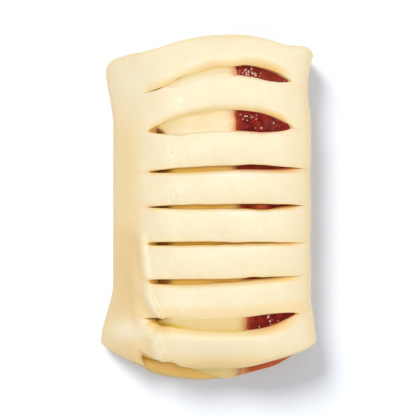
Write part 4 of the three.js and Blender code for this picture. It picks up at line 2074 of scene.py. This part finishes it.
@dataclass
class Studio:
    """Pale floor, soft light and the camera straight above."""

    # Camera and floor.
    camera_height: float = 0.6
    lens: float = 145.9
    floor_half: float = 6.0
    floor_tone: Colour = (0.77, 0.79, 0.82)
    floor_roughness: float = 0.9
    # Light on the pastry.
    ambient: float = 0.58
    ambient_tone: Colour = (1.0, 0.93, 0.83)
    key_place: Vector = Vector((0.06, 0.19, 0.9))
    key_energy: float = 3.7
    key_size: tuple[float, float] = (0.25, 0.4)
    glint_places: tuple[Vector, ...] = (
        Vector((-0.16, -0.16, 0.75)),
        Vector((-0.24, 0.0, 0.75)),
        Vector((-0.14, 0.14, 0.8)),
    )
    glint_energy: float = 0.12
    glint_size: tuple[float, float] = (0.05, 0.05)
    # Light on the floor.
    sun_towards: Vector = Vector((-0.52, 0.84, 1.0))
    sun_energy: float = 2.8
    sun_angle: float = math.radians(24)
    fill_towards: Vector = Vector((0.0, 0.0, 1.0))
    fill_energy: float = 0.78
    sun_tone: Colour = (0.94, 0.97, 1.0)
    fill_tone: Colour = (0.56, 0.71, 1.0)

    def floor(self) -> bpy.types.Object:
        """Makes the floor, which isn't part of the object.

        Returns:
            The floor.
        """
        h = self.floor_half
        mesh = bpy.data.meshes.new("floor")
        mesh.from_pydata([(-h, -h, 0), (h, -h, 0), (h, h, 0), (-h, h, 0)], [], [(0, 1, 2, 3)])
        floor = bpy.data.objects.new("floor", mesh)
        bpy.context.scene.collection.objects.link(floor)
        book = ShaderBook("floor_paper")
        book.set_surface(base_color=self.floor_tone, roughness=self.floor_roughness)
        mesh.materials.append(book.material)
        return floor

    def lamp(self, name: str, kind: str, place: Vector, **settings: object) -> bpy.types.Object:
        """Adds a light that shines from a place towards the pastry.

        Args:
            name: name of the light.
            kind: Blender's kind of light.
            place: where the light stands.
            settings: its strength and size.

        Returns:
            The light.
        """
        light = bpy.data.lights.new(name, kind)
        for key, value in settings.items():
            setattr(light, key, value)
        lamp = bpy.data.objects.new(name, light)
        lamp.location = place
        lamp.rotation_euler = (-place).to_track_quat("-Z", "Y").to_euler()
        bpy.context.scene.collection.objects.link(lamp)
        return lamp

    def group(self, name: str, members: list[bpy.types.Object]) -> bpy.types.Collection:
        """Collects objects that a light reaches or that stand in its way.

        Args:
            name: name of the group.
            members: the objects.

        Returns:
            The group.
        """
        group = bpy.data.collections.new(name)
        for item in members:
            group.objects.link(item)
        return group

    def light(self, pieces: list[bpy.types.Object], floor: bpy.types.Object) -> None:
        """Sets a soft box and small glints for the pastry, and a low sun and an even fill for the floor.

        Args:
            pieces: the pastry's pieces, the dough first.
            floor: the floor.
        """
        boxes = [("soft_box", self.key_place, self.key_energy, self.key_size)]
        for number, place in enumerate(self.glint_places):
            boxes.append((f"glint_{number}", place, self.glint_energy, self.glint_size))
        lamps = [
            self.lamp(name, "AREA", place, energy=energy, shape="RECTANGLE", size=size[0], size_y=size[1])
            for name, place, energy, size in boxes
        ]
        sun = self.lamp(
            "floor_sun", "SUN", self.sun_towards,
            energy=self.sun_energy, angle=self.sun_angle, color=self.sun_tone,
        )
        fill = self.lamp(
            "floor_fill", "SUN", self.fill_towards,
            energy=self.fill_energy, color=self.fill_tone,
        )
        pastry_only = self.group("pastry_only", pieces)
        dough_only = self.group("dough_only", pieces[:1])
        floor_only = self.group("floor_only", [floor])
        lamps[0].light_linking.receiver_collection = pastry_only
        for lamp in lamps[1:]:
            lamp.light_linking.receiver_collection = dough_only
        sun.light_linking.receiver_collection = floor_only
        fill.light_linking.receiver_collection = floor_only
        fill.light_linking.blocker_collection = floor_only

    def build(self, pieces: list[bpy.types.Object]) -> None:
        """Sets the floor, the lights and the camera.

        Args:
            pieces: the pastry's pieces.
        """
        scene = bpy.context.scene
        self.light(pieces, self.floor())
        world = bpy.data.worlds.new("studio")
        world.use_nodes = True
        background = world.node_tree.nodes["Background"]
        background.inputs["Color"].default_value = (*self.ambient_tone, 1)
        background.inputs["Strength"].default_value = self.ambient
        scene.world = world
        camera = bpy.data.cameras.new("camera")
        camera.lens = self.lens
        eye = bpy.data.objects.new("camera", camera)
        eye.location = (0.0, 0.0, self.camera_height)
        scene.collection.objects.link(eye)
        scene.camera = eye
        scene.view_settings.view_transform = "Standard"


def main() -> None:
    """Builds the pastry and its studio in order."""
    logging.basicConfig(level=logging.INFO, format="%(name)s: %(message)s")
    sheet = DoughSheet()
    custard = CustardStrand(sheet)
    cherry = CherryStrand(sheet)
    dough_piece = sheet.build(custard.divide)
    sheet.dress(dough_piece, DoughFinish())
    custard_piece = custard.build()
    custard.dress(custard_piece, "custard", CustardFinish().material())
    cherry_piece = cherry.build()
    cherry.dress(cherry_piece, "cherry", CherryFinish().material())
    bubbles = SyrupBubbles().build(cherry_piece, SyrupFinish())
    pieces = [dough_piece, custard_piece, cherry_piece, bubbles]
    for piece in pieces:
        LOG.info("%s: %d faces", piece.name, len(piece.data.polygons))
    Studio().build(pieces)


if __name__ == "__main__":
    main()
